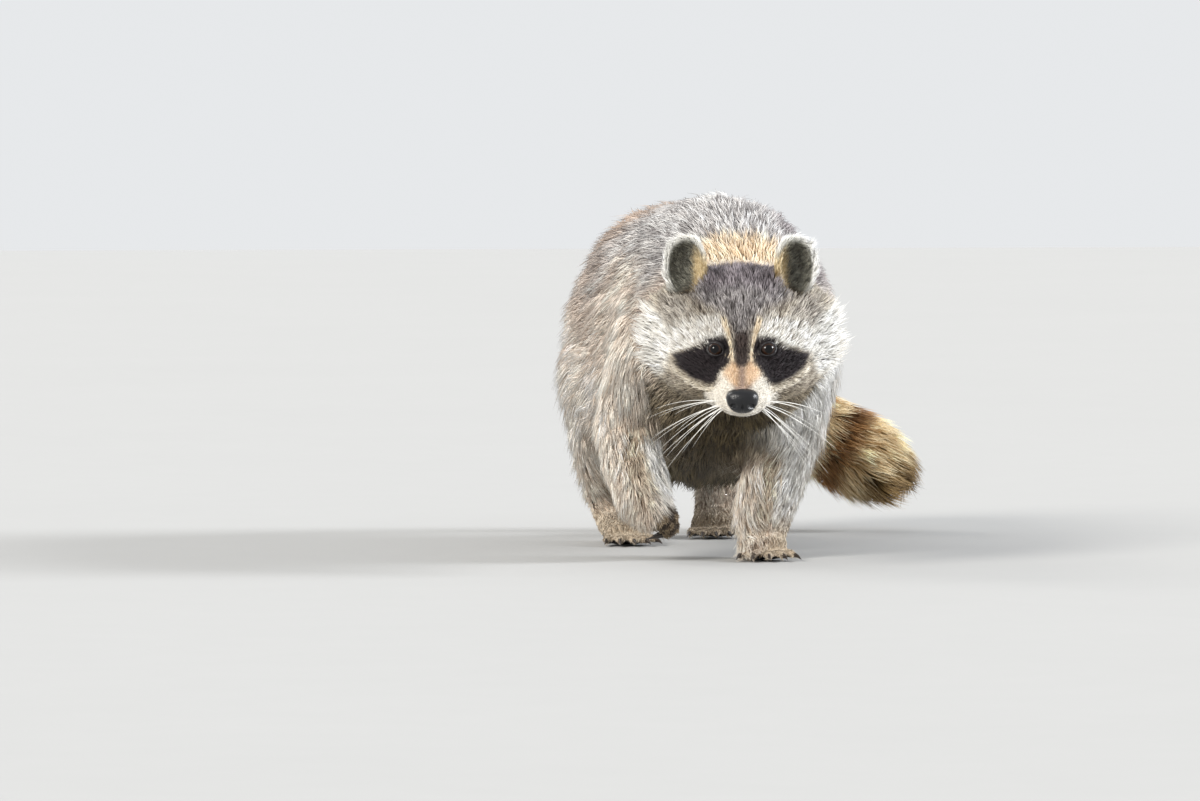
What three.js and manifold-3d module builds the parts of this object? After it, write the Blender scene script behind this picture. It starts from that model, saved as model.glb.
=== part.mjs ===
// A raccoon walking, life size, as one still figure, in millimetres with +Z up.
// The animal faces -Y and its left side is +X. The solids are the outline of the coat.
// Three paws stand on the floor and the right forepaw is lifted, folded inwards at the wrist.
// The flesh is modelled whole from lofted forms, and then parted with thin cuts.
import * as THREE from "three";
import { mergeVertices } from "three/addons/utils/BufferGeometryUtils.js";
import Module from "manifold-3d";

const wasm = await Module();
wasm.setup();

// ---------- Driving dimensions ----------
const GAP = 0.3; // clearance between neighbouring pieces
const FAR = 700; // reach of a cutting block, past the whole animal
const BODY_SQUARENESS = 2.15; // superellipse power of the trunk's and head's sections
const TRUNK_MESH = { sides: 16, rings: 14, endRound: 16 }; // the rounded ends reach this far out
const HEAD_MESH = { sides: 16, rings: 15, endRound: 5 };
const TUBE_SIDES = { leg: 9, tail: 9, sole: 7, digit: 5, claw: 4, cutter: 6 };

const HEAD_YAW = THREE.MathUtils.degToRad(8); // the head and neck turn to the animal's right
const HEAD_PITCH = THREE.MathUtils.degToRad(18); // the muzzle hangs below level
const NECK_PIVOT_Y = -157; // the upright axis of the turn
const NECK_TURN_START = -137; // where the neck starts to turn
const NECK_TURN_LENGTH = 45; // length over which it turns
const EYE_HEIGHT = 187; // of the eyes above the floor
const EYE_FORWARD = 285; // of the eyes in front of the origin, before the head turns

const EYE_RADIUS = 7.6;
const EYE_MESH = [8, 6]; // sides and levels
const EYE_PLACE = { x: 21.5, y: -34.5, z: -0.5 }; // in the head's frame
const EYE_HOLLOW = { x: 25, y: -46, z: -12, reach: 13, depth: 3.2 }; // in front of the eye
const BROW = { x: 27, y: -28, z: 15, reach: 13, height: 2.2 };
const NOSE_SIZE = { x: 13.2, y: 9.5, z: 11.4 }; // half sizes of the nose pad
const NOSE_MESH = [10, 6];
const NOSE_PLACE = { x: 0, y: -83.5, z: -28 };
const NOSE_NARROWING = 0.16; // the share of its width that it gains above and loses below
const EAR = { halfWidth: 19.5, halfHeight: 28.5, depth: 17, wall: 0.2 }; // the wall is a share of the radius
const EAR_MESH = { around: 11, arc: 3, rim: 97 }; // the bowl's arc runs from its back to its rim, in degrees
const EAR_PLACE = { x: 46.5, y: 29, z: 49 };
const EAR_TILT = { lean: 10, open: 24, nod: -16 }; // degrees: outwards, opening sideways, forwards
// The oval hollow inside the ear and below its opening, in shares of the ear's own sizes.
const EAR_SCOOP = { y: -0.35, z: -0.4, half: [0.85, 1.1, 0.62], mesh: [8, 5] };

const CLAW_LENGTH = 10;
const CLAW_RADIUS = 2.4;
const CLAW_CURVE = 2.2; // how far the point bends down
const CLAW_TAPER = 0.68; // the share of its thickness that a claw loses towards the point
const DIGIT_RADIUS = 5.2;
const DIGIT_TAPER = 0.4; // lost at each of a digit's joints
const DIGIT_SET_BACK = 16; // the outer digits start further back than the middle one
const KNUCKLE = { share: 0.55, rise: 2.4 }; // how far along its digit, and how far above it

// ---------- Lines of the trunk and neck: [y, value] from the throat to the rump ----------
const BACK_LINE = [
  [-245, 240], [-205, 264], [-165, 284], [-120, 305], [-60, 317], [10, 311],
  [90, 305], [170, 305], [225, 296], [262, 265], [287, 222],
];
const BELLY_LINE = [
  [-245, 165], [-205, 140], [-165, 114], [-120, 93], [-60, 76], [10, 62],
  [90, 54], [170, 60], [225, 84], [262, 125], [287, 165],
];
const FLANK_LINE = [
  [-245, 200], [-205, 202], [-165, 196], [-120, 180], [-60, 160], [90, 150], [225, 158], [287, 192],
]; // height of the widest level
const WIDTH_LINE = [
  [-245, 56], [-205, 74], [-165, 84], [-120, 93], [-60, 102], [10, 108],
  [90, 113], [150, 112], [200, 101], [240, 80], [270, 52], [287, 26],
]; // half width at that level

// ---------- Lines of the head in its own frame: [y, value] from the nose to the nape ----------
const CROWN_LINE = [
  [-84, -19], [-74, -13], [-60, -8], [-50, -3], [-42, 5], [-30, 18], [-15, 32],
  [5, 42], [28, 48], [50, 48], [78, 38],
];
const THROAT_LINE = [
  [-84, -41], [-74, -46], [-60, -49.5], [-42, -53], [-15, -60], [10, -68], [40, -72], [78, -58],
];
const CHEEK_LINE = [[-84, -31], [-60, -32], [-34, -29], [0, -24], [35, -20], [78, -14]];
const FACE_WIDTH_LINE = [
  [-84, 13], [-74, 20.5], [-60, 24], [-50, 27.5], [-42, 33.5], [-32, 44.5], [-18, 57],
  [0, 67.5], [18, 79], [36, 88.5], [52, 84], [66, 70], [78, 50],
];

// ---------- Limbs: joints from the body outwards as [x, y, z, half width, half depth] ----------
// The third joint is the elbow or knee, and the fifth is the wrist or hock.
const LIMBS = {
  fore_left: [
    [52, -72, 232, 34, 48], [60, -102, 172, 38, 47], [50, -86, 116, 37, 38],
    [40, -93, 74, 31, 31], [29, -106, 38, 26, 25], [27, -114, 22, 22, 18],
  ],
  fore_right: [
    [-52, -76, 232, 34, 48], [-66, -104, 172, 40, 47], [-80, -80, 124, 34, 38],
    [-84, -100, 88, 29, 29], [-79, -132, 55, 25, 24], [-74, -139, 44, 20, 18],
  ],
  hind_left: [
    [50, 196, 195, 42, 62], [70, 184, 142, 38, 56], [72, 166, 106, 31, 36],
    [60, 206, 86, 25, 28], [48, 242, 62, 20, 21], [41, 232, 40, 19, 18], [36, 216, 20, 19, 14],
  ],
  hind_right: [
    [-50, 192, 195, 42, 62], [-70, 162, 142, 38, 56], [-78, 124, 108, 31, 36],
    [-74, 144, 76, 27, 28], [-67, 158, 44, 21, 21], [-64, 150, 24, 19, 17],
  ],
};
const [BEND, ANKLE] = [2, 4]; // the joints where a leg is parted
const TAIL_JOINTS = [
  [0, 252, 222, 32, 32], [20, 284, 200, 35, 35], [60, 306, 160, 36, 36], [106, 310, 121, 34, 34],
  [145, 300, 90, 38, 38], [174, 288, 73, 42, 42], [193, 278, 62, 40, 40],
];

// ---------- Paws: the sole runs from heel to ball, and five digits fan out from the ball ----------
// The forms of a standing paw reach a little below the floor, which cuts its flats.
const PAWS = {
  fore_left: {
    sole: [[27, -112, 15, 21, 16.5], [26, -126, 13, 22.5, 14.5], [25.5, -140, 10, 20, 11.5]],
    forward: [-0.04, -1, 0], up: [0, 0, 1], digits: [21, 26, 28, 26, 20], fan: 48, width: 31,
    drop: 5.6, droop: 0, curl: 0,
  },
  fore_right: {
    sole: [[-75, -139, 43, 20, 16], [-64, -133, 40, 18, 13], [-55, -127, 39, 16, 11]],
    forward: [0.86, 0.3, -0.4], up: [0.1, -0.6, 0.8], digits: [11, 14, 15, 14, 11], fan: 34, width: 24,
    drop: 1, droop: 15, curl: 9,
  },
  hind_left: {
    sole: [[38, 224, 26, 17, 14], [34, 206, 14, 20, 15.5], [32, 192, 10, 21.5, 11.5]],
    forward: [-0.06, -1, 0], up: [0, 0, 1], digits: [20, 25, 27, 26, 22], fan: 36, width: 33,
    drop: 5.6, droop: 0, curl: 0,
  },
  hind_right: {
    sole: [[-64, 154, 18, 17, 19.5], [-62, 120, 13.5, 19, 15], [-60, 92, 10, 21.5, 11.5]],
    forward: [0.05, -1, 0], up: [0, 0, 1], digits: [20, 25, 27, 26, 22], fan: 36, width: 33,
    drop: 5.6, droop: 0, curl: 0,
  },
};

// ---------- Where the figure is parted ----------
const LIMB_CUT_MARGIN = 9; // the form that cuts a limb free stands this far off its surface
const PAW_BLOCK = [92, 126, 62]; // the block that cuts a paw free, centred on its sole
const TAIL_ROOT = { point: [0, 266, 222], normal: [0.05, 1, -0.35] }; // the tail is free beyond this plane
const TORSO_CUTS = { neck: -152, neckSlope: 0.25, chest: -32, barrel: 98 };
const HEAD_BLOCK = { size: [300, 300, 300], back: 60, z: 45 }; // cuts the head free, in its own frame
const MUZZLE_CUT = { y: -47, slope: 0.12 };
const MOUTH = { y: -84, z: -40.5, slope: 6 }; // the mouth's line, rising backwards by degrees
const TAIL_SHARES = [0.3, 0.53, 0.76]; // where the tail is cut, as shares of its joints

// ---------- Number helpers ----------
const vector = (list) => new THREE.Vector3(list[0], list[1], list[2]);
const smooth = (t) => THREE.MathUtils.smoothstep(t, 0, 1);

// The value at y of a smooth line through [y, value] pairs whose y rises.
function along(line, y) {
  const last = line.length - 1;
  const clamped = THREE.MathUtils.clamp(y, line[0][0], line[last][0]);
  let i = 0;
  while (i < last - 1 && clamped > line[i + 1][0]) i++;
  const slope = (k) => {
    const a = line[Math.max(k - 1, 0)];
    const b = line[Math.min(k + 1, last)];
    return (b[1] - a[1]) / (b[0] - a[0]);
  };
  const [y0, v0] = line[i];
  const [y1, v1] = line[i + 1];
  const width = y1 - y0;
  const t = (clamped - y0) / width;
  const rise = t * t * (3 - 2 * t);
  return v0 + (v1 - v0) * rise + width * t * (1 - t) * (slope(i) * (1 - t) - slope(i + 1) * t);
}

// ---------- Surfaces ----------
// Closes a stack of equal rings with a point at each end. Rings run anticlockwise seen from the last pole.
function wrap(rings, firstPole, lastPole) {
  const sides = rings[0].length;
  const points = [firstPole, ...rings.flat(), lastPole];
  const at = (ring, side) => 1 + ring * sides + (side % sides);
  const faces = [];
  for (let k = 0; k < sides; k++) {
    faces.push(0, at(0, k + 1), at(0, k));
    for (let r = 0; r + 1 < rings.length; r++) {
      faces.push(at(r, k), at(r, k + 1), at(r + 1, k + 1));
      faces.push(at(r, k), at(r + 1, k + 1), at(r + 1, k));
    }
    faces.push(points.length - 1, at(rings.length - 1, k), at(rings.length - 1, k + 1));
  }
  const positions = points.flatMap((p) => [p.x, p.y, p.z]);
  return new THREE.BufferGeometry()
    .setAttribute("position", new THREE.Float32BufferAttribute(positions, 3))
    .setIndex(faces);
}

// One ring of an upright section at y: a superellipse that is widest at its own level.
function uprightRing(y, { top, bottom, level, half }, sides) {
  const power = 2 / BODY_SQUARENESS;
  return Array.from({ length: sides }, (_, k) => {
    const a = (2 * Math.PI * k) / sides;
    const across = Math.sign(Math.cos(a)) * Math.abs(Math.cos(a)) ** power;
    const rise = Math.sign(Math.sin(a)) * Math.abs(Math.sin(a)) ** power;
    const height = rise > 0 ? top - level : level - bottom;
    return new THREE.Vector3(-half * across, y, level + height * rise);
  });
}

// A form along Y given by four lines. Outside each end, a shrunken ring and a pole round it off.
function uprightLoft(lines, { sides, rings: count, endRound }) {
  const [capShrink, capReach] = [0.62, 0.7];
  const [first] = lines.top[0];
  const [last] = lines.top[lines.top.length - 1];
  const sectionAt = (y) => ({
    top: along(lines.top, y),
    bottom: along(lines.bottom, y),
    level: along(lines.level, y),
    half: along(lines.half, y),
  });
  const rings = Array.from({ length: count }, (_, i) => {
    const y = first + ((last - first) * i) / (count - 1);
    return uprightRing(y, sectionAt(y), sides);
  });
  const cap = (y, direction) => {
    const section = sectionAt(y);
    const middle = (section.top + section.bottom) / 2;
    const towardsMiddle = (z) => middle + (z - middle) * capShrink;
    const small = {
      top: towardsMiddle(section.top),
      bottom: towardsMiddle(section.bottom),
      level: towardsMiddle(section.level),
      half: section.half * capShrink,
    };
    return {
      ring: uprightRing(y + direction * endRound * capReach, small, sides),
      pole: new THREE.Vector3(0, y + direction * endRound, middle),
    };
  };
  const front = cap(first, -1);
  const back = cap(last, 1);
  return wrap([front.ring, ...rings, back.ring], front.pole, back.pole);
}

// A tube along smooth joints [x, y, z, half width, half depth] with round ends and a ring at each joint,
// or more of them. The width runs along the reference direction, which is carried on along the curve.
// Each end is rounded by its share of the radius, and a share of 0 leaves a flat.
function limb(joints, options = {}) {
  const { sides, rings: perJoint = 1, capRings = 1, round = [1, 1] } = options;
  const { grow = 0, reference = [1, 0, 0] } = options;
  const steps = (joints.length - 1) * perJoint;
  const path = new THREE.CatmullRomCurve3(joints.map(vector), false, "centripetal");
  const sizes = new THREE.CatmullRomCurve3(
    joints.map((j) => new THREE.Vector3(j[3] + grow, j[4] + grow, 0)),
  );
  let side = vector(reference);
  const ring = (centre, tangent, width, depth) => {
    side = side.clone().addScaledVector(tangent, -side.dot(tangent)).normalize();
    const fore = new THREE.Vector3().crossVectors(tangent, side);
    return Array.from({ length: sides }, (_, k) => {
      const a = (2 * Math.PI * k) / sides;
      return centre
        .clone()
        .addScaledVector(side, width * Math.cos(a))
        .addScaledVector(fore, depth * Math.sin(a));
    });
  };
  const rings = [];
  for (let i = 0; i <= steps; i++) {
    const t = i / steps;
    const centre = path.getPoint(t);
    const tangent = path.getTangent(t);
    const { x: width, y: depth } = sizes.getPoint(t);
    const ends = i === 0 ? -1 : i === steps ? 1 : 0;
    const reach = Math.min(width, depth) * round[ends > 0 ? 1 : 0];
    const cap = [];
    for (let k = 1; k <= capRings && ends; k++) {
      const a = (Math.PI / 2) * (k / (capRings + 1));
      const out = centre.clone().addScaledVector(tangent, ends * reach * Math.sin(a));
      cap.push(ring(out, tangent, width * Math.cos(a), depth * Math.cos(a)));
    }
    if (ends < 0) rings.push(...cap.reverse());
    rings.push(ring(centre, tangent, width, depth));
    if (ends > 0) rings.push(...cap);
  }
  const pole = (t, direction) => {
    const size = sizes.getPoint(t);
    const reach = Math.min(size.x, size.y) * round[t] * direction;
    return path.getPoint(t).addScaledVector(path.getTangent(t), reach);
  };
  return wrap(rings, pole(0, -1), pole(1, 1));
}

// ---------- Frames ----------
// The head's frame: level at the eyes, then pitched down, placed, and turned about the neck's pivot.
const headMatrix = new THREE.Matrix4()
  .makeTranslation(0, NECK_PIVOT_Y, 0)
  .multiply(new THREE.Matrix4().makeRotationZ(-HEAD_YAW))
  .multiply(new THREE.Matrix4().makeTranslation(0, -EYE_FORWARD - NECK_PIVOT_Y, EYE_HEIGHT))
  .multiply(new THREE.Matrix4().makeRotationX(HEAD_PITCH))
  .multiply(new THREE.Matrix4().makeTranslation(0, -EYE_PLACE.y, 0));

// The neck's rings turn with the head, a little at a time.
function turnNeck(geometry) {
  const p = geometry.attributes.position;
  const v = new THREE.Vector3();
  for (let i = 0; i < p.count; i++) {
    v.fromBufferAttribute(p, i);
    const turn = -HEAD_YAW * smooth((NECK_TURN_START - v.y) / NECK_TURN_LENGTH);
    v.y -= NECK_PIVOT_Y;
    v.applyAxisAngle(new THREE.Vector3(0, 0, 1), turn);
    p.setXYZ(i, v.x, v.y + NECK_PIVOT_Y, v.z);
  }
  return geometry;
}

// ---------- Forms of the flesh ----------
function trunkForm() {
  const lines = { top: BACK_LINE, bottom: BELLY_LINE, level: FLANK_LINE, half: WIDTH_LINE };
  return turnNeck(uprightLoft(lines, TRUNK_MESH));
}

// The skull and muzzle, with a hollow in front of each eye and a brow over it.
function headForm() {
  const lines = { top: CROWN_LINE, bottom: THROAT_LINE, level: CHEEK_LINE, half: FACE_WIDTH_LINE };
  const g = uprightLoft(lines, HEAD_MESH);
  const p = g.attributes.position;
  for (let i = 0; i < p.count; i++) {
    const [x, y, z] = [p.getX(i), p.getY(i), p.getZ(i)];
    const near = (place) =>
      Math.exp(
        -((Math.abs(x) - place.x) ** 2 + (y - place.y) ** 2 + (z - place.z) ** 2) / place.reach ** 2,
      );
    const push = BROW.height * near(BROW) - EYE_HOLLOW.depth * near(EYE_HOLLOW);
    p.setXYZ(i, x + (Math.sign(x) * push) / 2, y - push / 2, z + Math.max(push, 0) / 2);
  }
  return g.applyMatrix4(headMatrix);
}

// A leg is two tubes that share the elbow or knee.
const legForms = (name, grow = 0, sides = TUBE_SIDES.leg) =>
  [LIMBS[name].slice(0, BEND + 1), LIMBS[name].slice(BEND)].map((bones) => limb(bones, { sides, grow }));
const tailForm = (grow = 0, sides = TUBE_SIDES.tail) =>
  limb(TAIL_JOINTS, { sides, rings: 2, grow, reference: [0.2, 0.5, 0.8] });

// The digits of a paw: they fan out from the ball and droop to the claw. A curled digit's knuckle stays
// out in front while its end comes back under the palm.
function digitsOf(paw) {
  const forward = vector(paw.forward).normalize();
  const up = vector(paw.up).addScaledVector(forward, -vector(paw.up).dot(forward)).normalize();
  const across = new THREE.Vector3().crossVectors(forward, up);
  const ball = vector(paw.sole[paw.sole.length - 1]);
  return paw.digits.map((length, i) => {
    const share = i / (paw.digits.length - 1) - 0.5;
    const direction = forward
      .clone()
      .applyAxisAngle(up, THREE.MathUtils.degToRad(-paw.fan * share));
    const start = ball
      .clone()
      .addScaledVector(across, paw.width * share)
      .addScaledVector(forward, -DIGIT_SET_BACK * share * share)
      .addScaledVector(up, -paw.drop);
    const reach = length - paw.curl;
    const end = start.clone().addScaledVector(direction, reach).addScaledVector(up, -paw.droop);
    const knuckle = start
      .clone()
      .lerp(end, KNUCKLE.share)
      .addScaledVector(direction, paw.curl)
      .addScaledVector(up, KNUCKLE.rise);
    const bone = end.clone().sub(paw.curl > 0 ? knuckle : start).normalize();
    return { start, knuckle, end, direction: bone, up };
  });
}

// A paw's sole with its digits, as one list of overlapping forms.
function pawForms(paw) {
  const reference = new THREE.Vector3()
    .crossVectors(vector(paw.forward), vector(paw.up))
    .normalize()
    .toArray();
  const soleShape = { sides: TUBE_SIDES.sole, capRings: 0, round: [0.7, 0.7], reference };
  const digitShape = { sides: TUBE_SIDES.digit, capRings: 0, round: [0.5, 0], reference };
  const digits = digitsOf(paw).map(({ start, knuckle, end }) => {
    const joints = [start, knuckle, end].map((v, k) => {
      const radius = DIGIT_RADIUS - DIGIT_TAPER * k;
      return [v.x, v.y, v.z, radius, radius];
    });
    return limb(joints, digitShape);
  });
  return [limb(paw.sole, soleShape), ...digits];
}

// A claw leaves the end of its digit and curves down to a blunt point.
function clawForm({ end, direction, up }) {
  const root = end.clone().addScaledVector(direction, GAP);
  const joints = [0, 0.5, 1].map((t) => {
    const v = root.clone().addScaledVector(direction, CLAW_LENGTH * t);
    v.addScaledVector(up, -CLAW_CURVE * t * t);
    const radius = CLAW_RADIUS * (1 - CLAW_TAPER * t);
    return [v.x, v.y, v.z, radius, radius];
  });
  return limb(joints, { sides: TUBE_SIDES.claw, capRings: 0, round: [0, 1] });
}

// The ear's frame, whose units are its half width, depth and half height.
function earMatrix(side) {
  const { lean, open, nod } = EAR_TILT;
  const turn = new THREE.Euler(
    THREE.MathUtils.degToRad(nod),
    THREE.MathUtils.degToRad(side * lean),
    THREE.MathUtils.degToRad(side * open),
    "ZYX",
  );
  return headMatrix
    .clone()
    .multiply(new THREE.Matrix4().makeTranslation(side * EAR_PLACE.x, EAR_PLACE.y, EAR_PLACE.z))
    .multiply(new THREE.Matrix4().makeRotationFromEuler(turn))
    .multiply(new THREE.Matrix4().makeScale(EAR.halfWidth, EAR.depth, EAR.halfHeight));
}

// A cupped ear: a bowl turned about its own axis, drawn out into an oval and leaned outwards.
function earForm(side, grow = 0) {
  const bowl = (radius) =>
    Array.from({ length: EAR_MESH.arc + 1 }, (_, i) => {
      const a = (THREE.MathUtils.degToRad(EAR_MESH.rim) * i) / EAR_MESH.arc;
      return new THREE.Vector2(radius * Math.sin(a), radius * Math.cos(a));
    });
  const share = grow / EAR.depth;
  const profile = [...bowl(1 - EAR.wall - share), ...bowl(1 + share).reverse()];
  const g = new THREE.LatheGeometry(profile, EAR_MESH.around);
  return g.applyMatrix4(earMatrix(side));
}

// What the skull leaves open inside an ear's bowl and in front of its foot.
const earScoop = (side) =>
  new THREE.SphereGeometry(1, ...EAR_SCOOP.mesh)
    .scale(...EAR_SCOOP.half)
    .translate(0, EAR_SCOOP.y, EAR_SCOOP.z)
    .applyMatrix4(earMatrix(side));

const eyeForm = (side, grow = 0) =>
  new THREE.SphereGeometry(EYE_RADIUS + grow, ...EYE_MESH)
    .translate(side * EYE_PLACE.x, EYE_PLACE.y, EYE_PLACE.z)
    .applyMatrix4(headMatrix);

// The nose pad is broad above and narrow below.
function noseForm(grow = 0) {
  const g = new THREE.SphereGeometry(1, ...NOSE_MESH).rotateX(Math.PI / 2);
  const p = g.attributes.position;
  for (let i = 0; i < p.count; i++) p.setX(i, p.getX(i) * (1 + NOSE_NARROWING * p.getZ(i)));
  return g
    .scale(NOSE_SIZE.x + grow, NOSE_SIZE.y + grow, NOSE_SIZE.z + grow)
    .translate(NOSE_PLACE.x, NOSE_PLACE.y, NOSE_PLACE.z)
    .applyMatrix4(headMatrix);
}

// ---------- Solids ----------
function solidOf(geometry) {
  const bare = geometry.clone();
  bare.deleteAttribute("normal");
  bare.deleteAttribute("uv");
  const merged = mergeVertices(bare, 1e-3);
  return new wasm.Manifold(
    new wasm.Mesh({
      numProp: 3,
      vertProperties: new Float32Array(merged.attributes.position.array),
      triVerts: new Uint32Array(merged.index.array),
    }),
  );
}

// The largest body of a cut solid: thin cuts may leave crumbs beside it.
const largest = (solid) =>
  solid.decompose().reduce((best, body) => (body.volume() > best.volume() ? body : best));

const join = (solids) => solids.reduce((whole, s) => whole.add(s));

function geometryOf(solid) {
  const { numProp, vertProperties, triVerts } = solid.getMesh();
  const positions = [];
  for (let i = 0; i < vertProperties.length; i += numProp)
    positions.push(vertProperties[i], vertProperties[i + 1], vertProperties[i + 2]);
  const g = new THREE.BufferGeometry()
    .setAttribute("position", new THREE.Float32BufferAttribute(positions, 3))
    .setIndex([...triVerts]);
  g.computeVertexNormals();
  return g;
}

// ---------- Cuts ----------
// A block on the far side of a plane through a point, starting half a gap away from it.
function blockBeyond(point, normal, near = GAP / 2) {
  const n = vector(normal).normalize();
  const turn = new THREE.Quaternion().setFromUnitVectors(new THREE.Vector3(0, 0, 1), n);
  const g = new THREE.BoxGeometry(2 * FAR, 2 * FAR, FAR)
    .translate(0, 0, FAR / 2 + near)
    .applyQuaternion(turn)
    .translate(point[0], point[1], point[2]);
  return solidOf(g);
}

// The two sides of a plane, with the gap between them: [beyond, behind].
const halves = (solid, point, normal) => [
  solid.intersect(blockBeyond(point, normal)),
  solid.intersect(blockBeyond(point, vector(normal).negate().toArray())),
];

// What lies inside a cutting form, and the rest of the solid a gap away from it.
const carve = (solid, cutter) => [solid.intersect(cutter(0)), solid.subtract(cutter(GAP))];

// Everything that belongs to one leg: its form, a little larger than the flesh, and a block round its paw.
const legCutter = (name) => (grow) =>
  join([
    ...legForms(name, LIMB_CUT_MARGIN + grow, TUBE_SIDES.cutter).map(solidOf),
    solidOf(
      new THREE.BoxGeometry(...PAW_BLOCK.map((length) => length + 2 * grow)).translate(
        ...PAWS[name].sole[1].slice(0, 3),
      ),
    ),
  ]);

// ---------- The whole flesh ----------
function makeFlesh() {
  const legs = Object.keys(LIMBS).flatMap((name) => legForms(name));
  const paws = Object.values(PAWS).flatMap((paw) => pawForms(paw));
  const whole = join([trunkForm(), headForm(), tailForm(), ...legs, ...paws].map(solidOf));
  const overFloor = whole.intersect(blockBeyond([0, 0, 0], [0, 0, 1], 0));
  const sides = [1, -1];
  const pocketsOf = (side) => [eyeForm(side, GAP), earForm(side, GAP), earScoop(side)];
  const pockets = [noseForm(GAP), ...sides.flatMap(pocketsOf)];
  return pockets.reduce((flesh, pocket) => flesh.subtract(solidOf(pocket)), overFloor);
}

// The head's pieces: the skull, the muzzle and the lower jaw.
function partHead(flesh) {
  const local = (x, y, z) => vector([x, y, z]).applyMatrix4(headMatrix).toArray();
  const turned = (x, y, z) => vector([x, y, z]).transformDirection(headMatrix).toArray();
  const block = (grow) =>
    solidOf(
      new THREE.BoxGeometry(...HEAD_BLOCK.size.map((length) => length + 2 * grow))
        .translate(0, HEAD_BLOCK.back - HEAD_BLOCK.size[1] / 2, HEAD_BLOCK.z)
        .applyMatrix4(headMatrix),
    );
  const [whole, rest] = carve(flesh, block);
  const [front, skull] = halves(whole, local(0, MUZZLE_CUT.y, 0), turned(0, -1, MUZZLE_CUT.slope));
  const slope = THREE.MathUtils.degToRad(MOUTH.slope);
  const [upper, jaw] = halves(
    front, local(0, MOUTH.y, MOUTH.z), turned(0, Math.sin(slope), Math.cos(slope)),
  );
  return { pieces: { head: skull, muzzle: upper, lower_jaw: jaw }, rest };
}

// One leg in three pieces: a level cut at the elbow or knee, and one across the wrist or hock.
function partLeg(flesh, name, names) {
  const [leg, rest] = carve(flesh, legCutter(name));
  const [before, ankle, after] = [-1, 0, 1].map((step) => vector(LIMBS[name][ANKLE + step]));
  const across = ankle.clone().sub(before).normalize().add(after.sub(ankle).normalize());
  const [below, top] = halves(leg, LIMBS[name][BEND], [0, 0, -1]);
  const [end, middle] = halves(below, ankle.toArray(), across.toArray());
  return { pieces: { [names[0]]: top, [names[1]]: middle, [names[2]]: end }, rest };
}

function partTail(flesh) {
  const cutter = (grow) =>
    solidOf(tailForm(LIMB_CUT_MARGIN + grow, TUBE_SIDES.cutter)).intersect(
      blockBeyond(TAIL_ROOT.point, TAIL_ROOT.normal, GAP - grow),
    );
  const [whole, rest] = carve(flesh, cutter);
  const path = new THREE.CatmullRomCurve3(TAIL_JOINTS.map(vector), false, "centripetal");
  const pieces = {};
  let left = whole;
  TAIL_SHARES.forEach((share, i) => {
    const [beyond, behind] = halves(left, path.getPoint(share).toArray(), path.getTangent(share).toArray());
    pieces[`tail_${i + 1}`] = behind;
    left = beyond;
  });
  pieces[`tail_${TAIL_SHARES.length + 1}`] = left;
  return { pieces, rest };
}

function partTorso(flesh) {
  const turn = -HEAD_YAW / 2;
  const alongNeck = [Math.sin(turn), -Math.cos(turn), TORSO_CUTS.neckSlope];
  const [neck, behindNeck] = halves(flesh, [0, TORSO_CUTS.neck, 0], alongNeck);
  const [chest, behindChest] = halves(behindNeck, [0, TORSO_CUTS.chest, 0], [0, -1, 0]);
  const [barrel, rump] = halves(behindChest, [0, TORSO_CUTS.barrel, 0], [0, -1, 0]);
  return { neck, chest, barrel, hindquarters: rump };
}

// ---------- Finishes ----------
const finish = (color, roughness) => new THREE.MeshStandardMaterial({ color, roughness, metalness: 0 });
const FINISHES = {
  coat: finish(0x8f8074, 0.85),
  paleCoat: finish(0xd8cfc0, 0.85),
  legCoat: finish(0xa08a72, 0.85),
  tailCoat: finish(0x9a6b3c, 0.85),
  skin: finish(0x3a2d28, 0.7),
  nose: finish(0x17161a, 0.35),
  eye: finish(0x0e0a08, 0.1),
  claw: finish(0x2b231e, 0.5),
};
const finishOf = (name) => {
  if (name.startsWith("claw")) return FINISHES.claw;
  if (name.startsWith("eye")) return FINISHES.eye;
  if (name === "nose") return FINISHES.nose;
  if (name.startsWith("tail")) return FINISHES.tailCoat;
  if (name.endsWith("paw") || name.endsWith("foot")) return FINISHES.skin;
  if (/forearm|shank/.test(name)) return FINISHES.legCoat;
  return /muzzle|jaw|ear_/.test(name) ? FINISHES.paleCoat : FINISHES.coat;
};

// ---------- Assembly ----------
const LEG_NAMES = { fore: ["upper_arm", "forearm", "paw"], hind: ["thigh", "shank", "foot"] };
const legNames = (name) => LEG_NAMES[name.slice(0, 4)].map((piece) => `${name}_${piece}`);
const namedClaws = Object.entries(PAWS).flatMap(([name, paw]) =>
  digitsOf(paw).map((digit, i) => ({ ...digit, name: `claw_${name}_${i + 1}` })),
);

function makePieces() {
  const pieces = {};
  let flesh = makeFlesh();
  const take = (found) => {
    Object.assign(pieces, found.pieces);
    flesh = found.rest;
  };
  take(partHead(flesh));
  take(partTail(flesh));
  for (const name of Object.keys(LIMBS)) take(partLeg(flesh, name, legNames(name)));
  Object.assign(pieces, partTorso(flesh));
  for (const [word, side] of [["left", 1], ["right", -1]]) {
    pieces[`eye_${word}`] = solidOf(eyeForm(side));
    pieces[`ear_${word}`] = solidOf(earForm(side));
  }
  pieces.nose = solidOf(noseForm());
  for (const claw of namedClaws) pieces[claw.name] = solidOf(clawForm(claw));
  return pieces;
}

const raccoon = new THREE.Group();
raccoon.name = "raccoon";
for (const [name, solid] of Object.entries(makePieces())) {
  const mesh = new THREE.Mesh(geometryOf(largest(solid)), finishOf(name));
  mesh.name = name;
  raccoon.add(mesh);
}

// The origin is on the floor, under the middle of the whole figure's outline.
const outline = new THREE.Box3().setFromObject(raccoon);
const centre = outline.getCenter(new THREE.Vector3());
raccoon.position.set(-centre.x, -centre.y, -outline.min.z);

export default raccoon;
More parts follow.
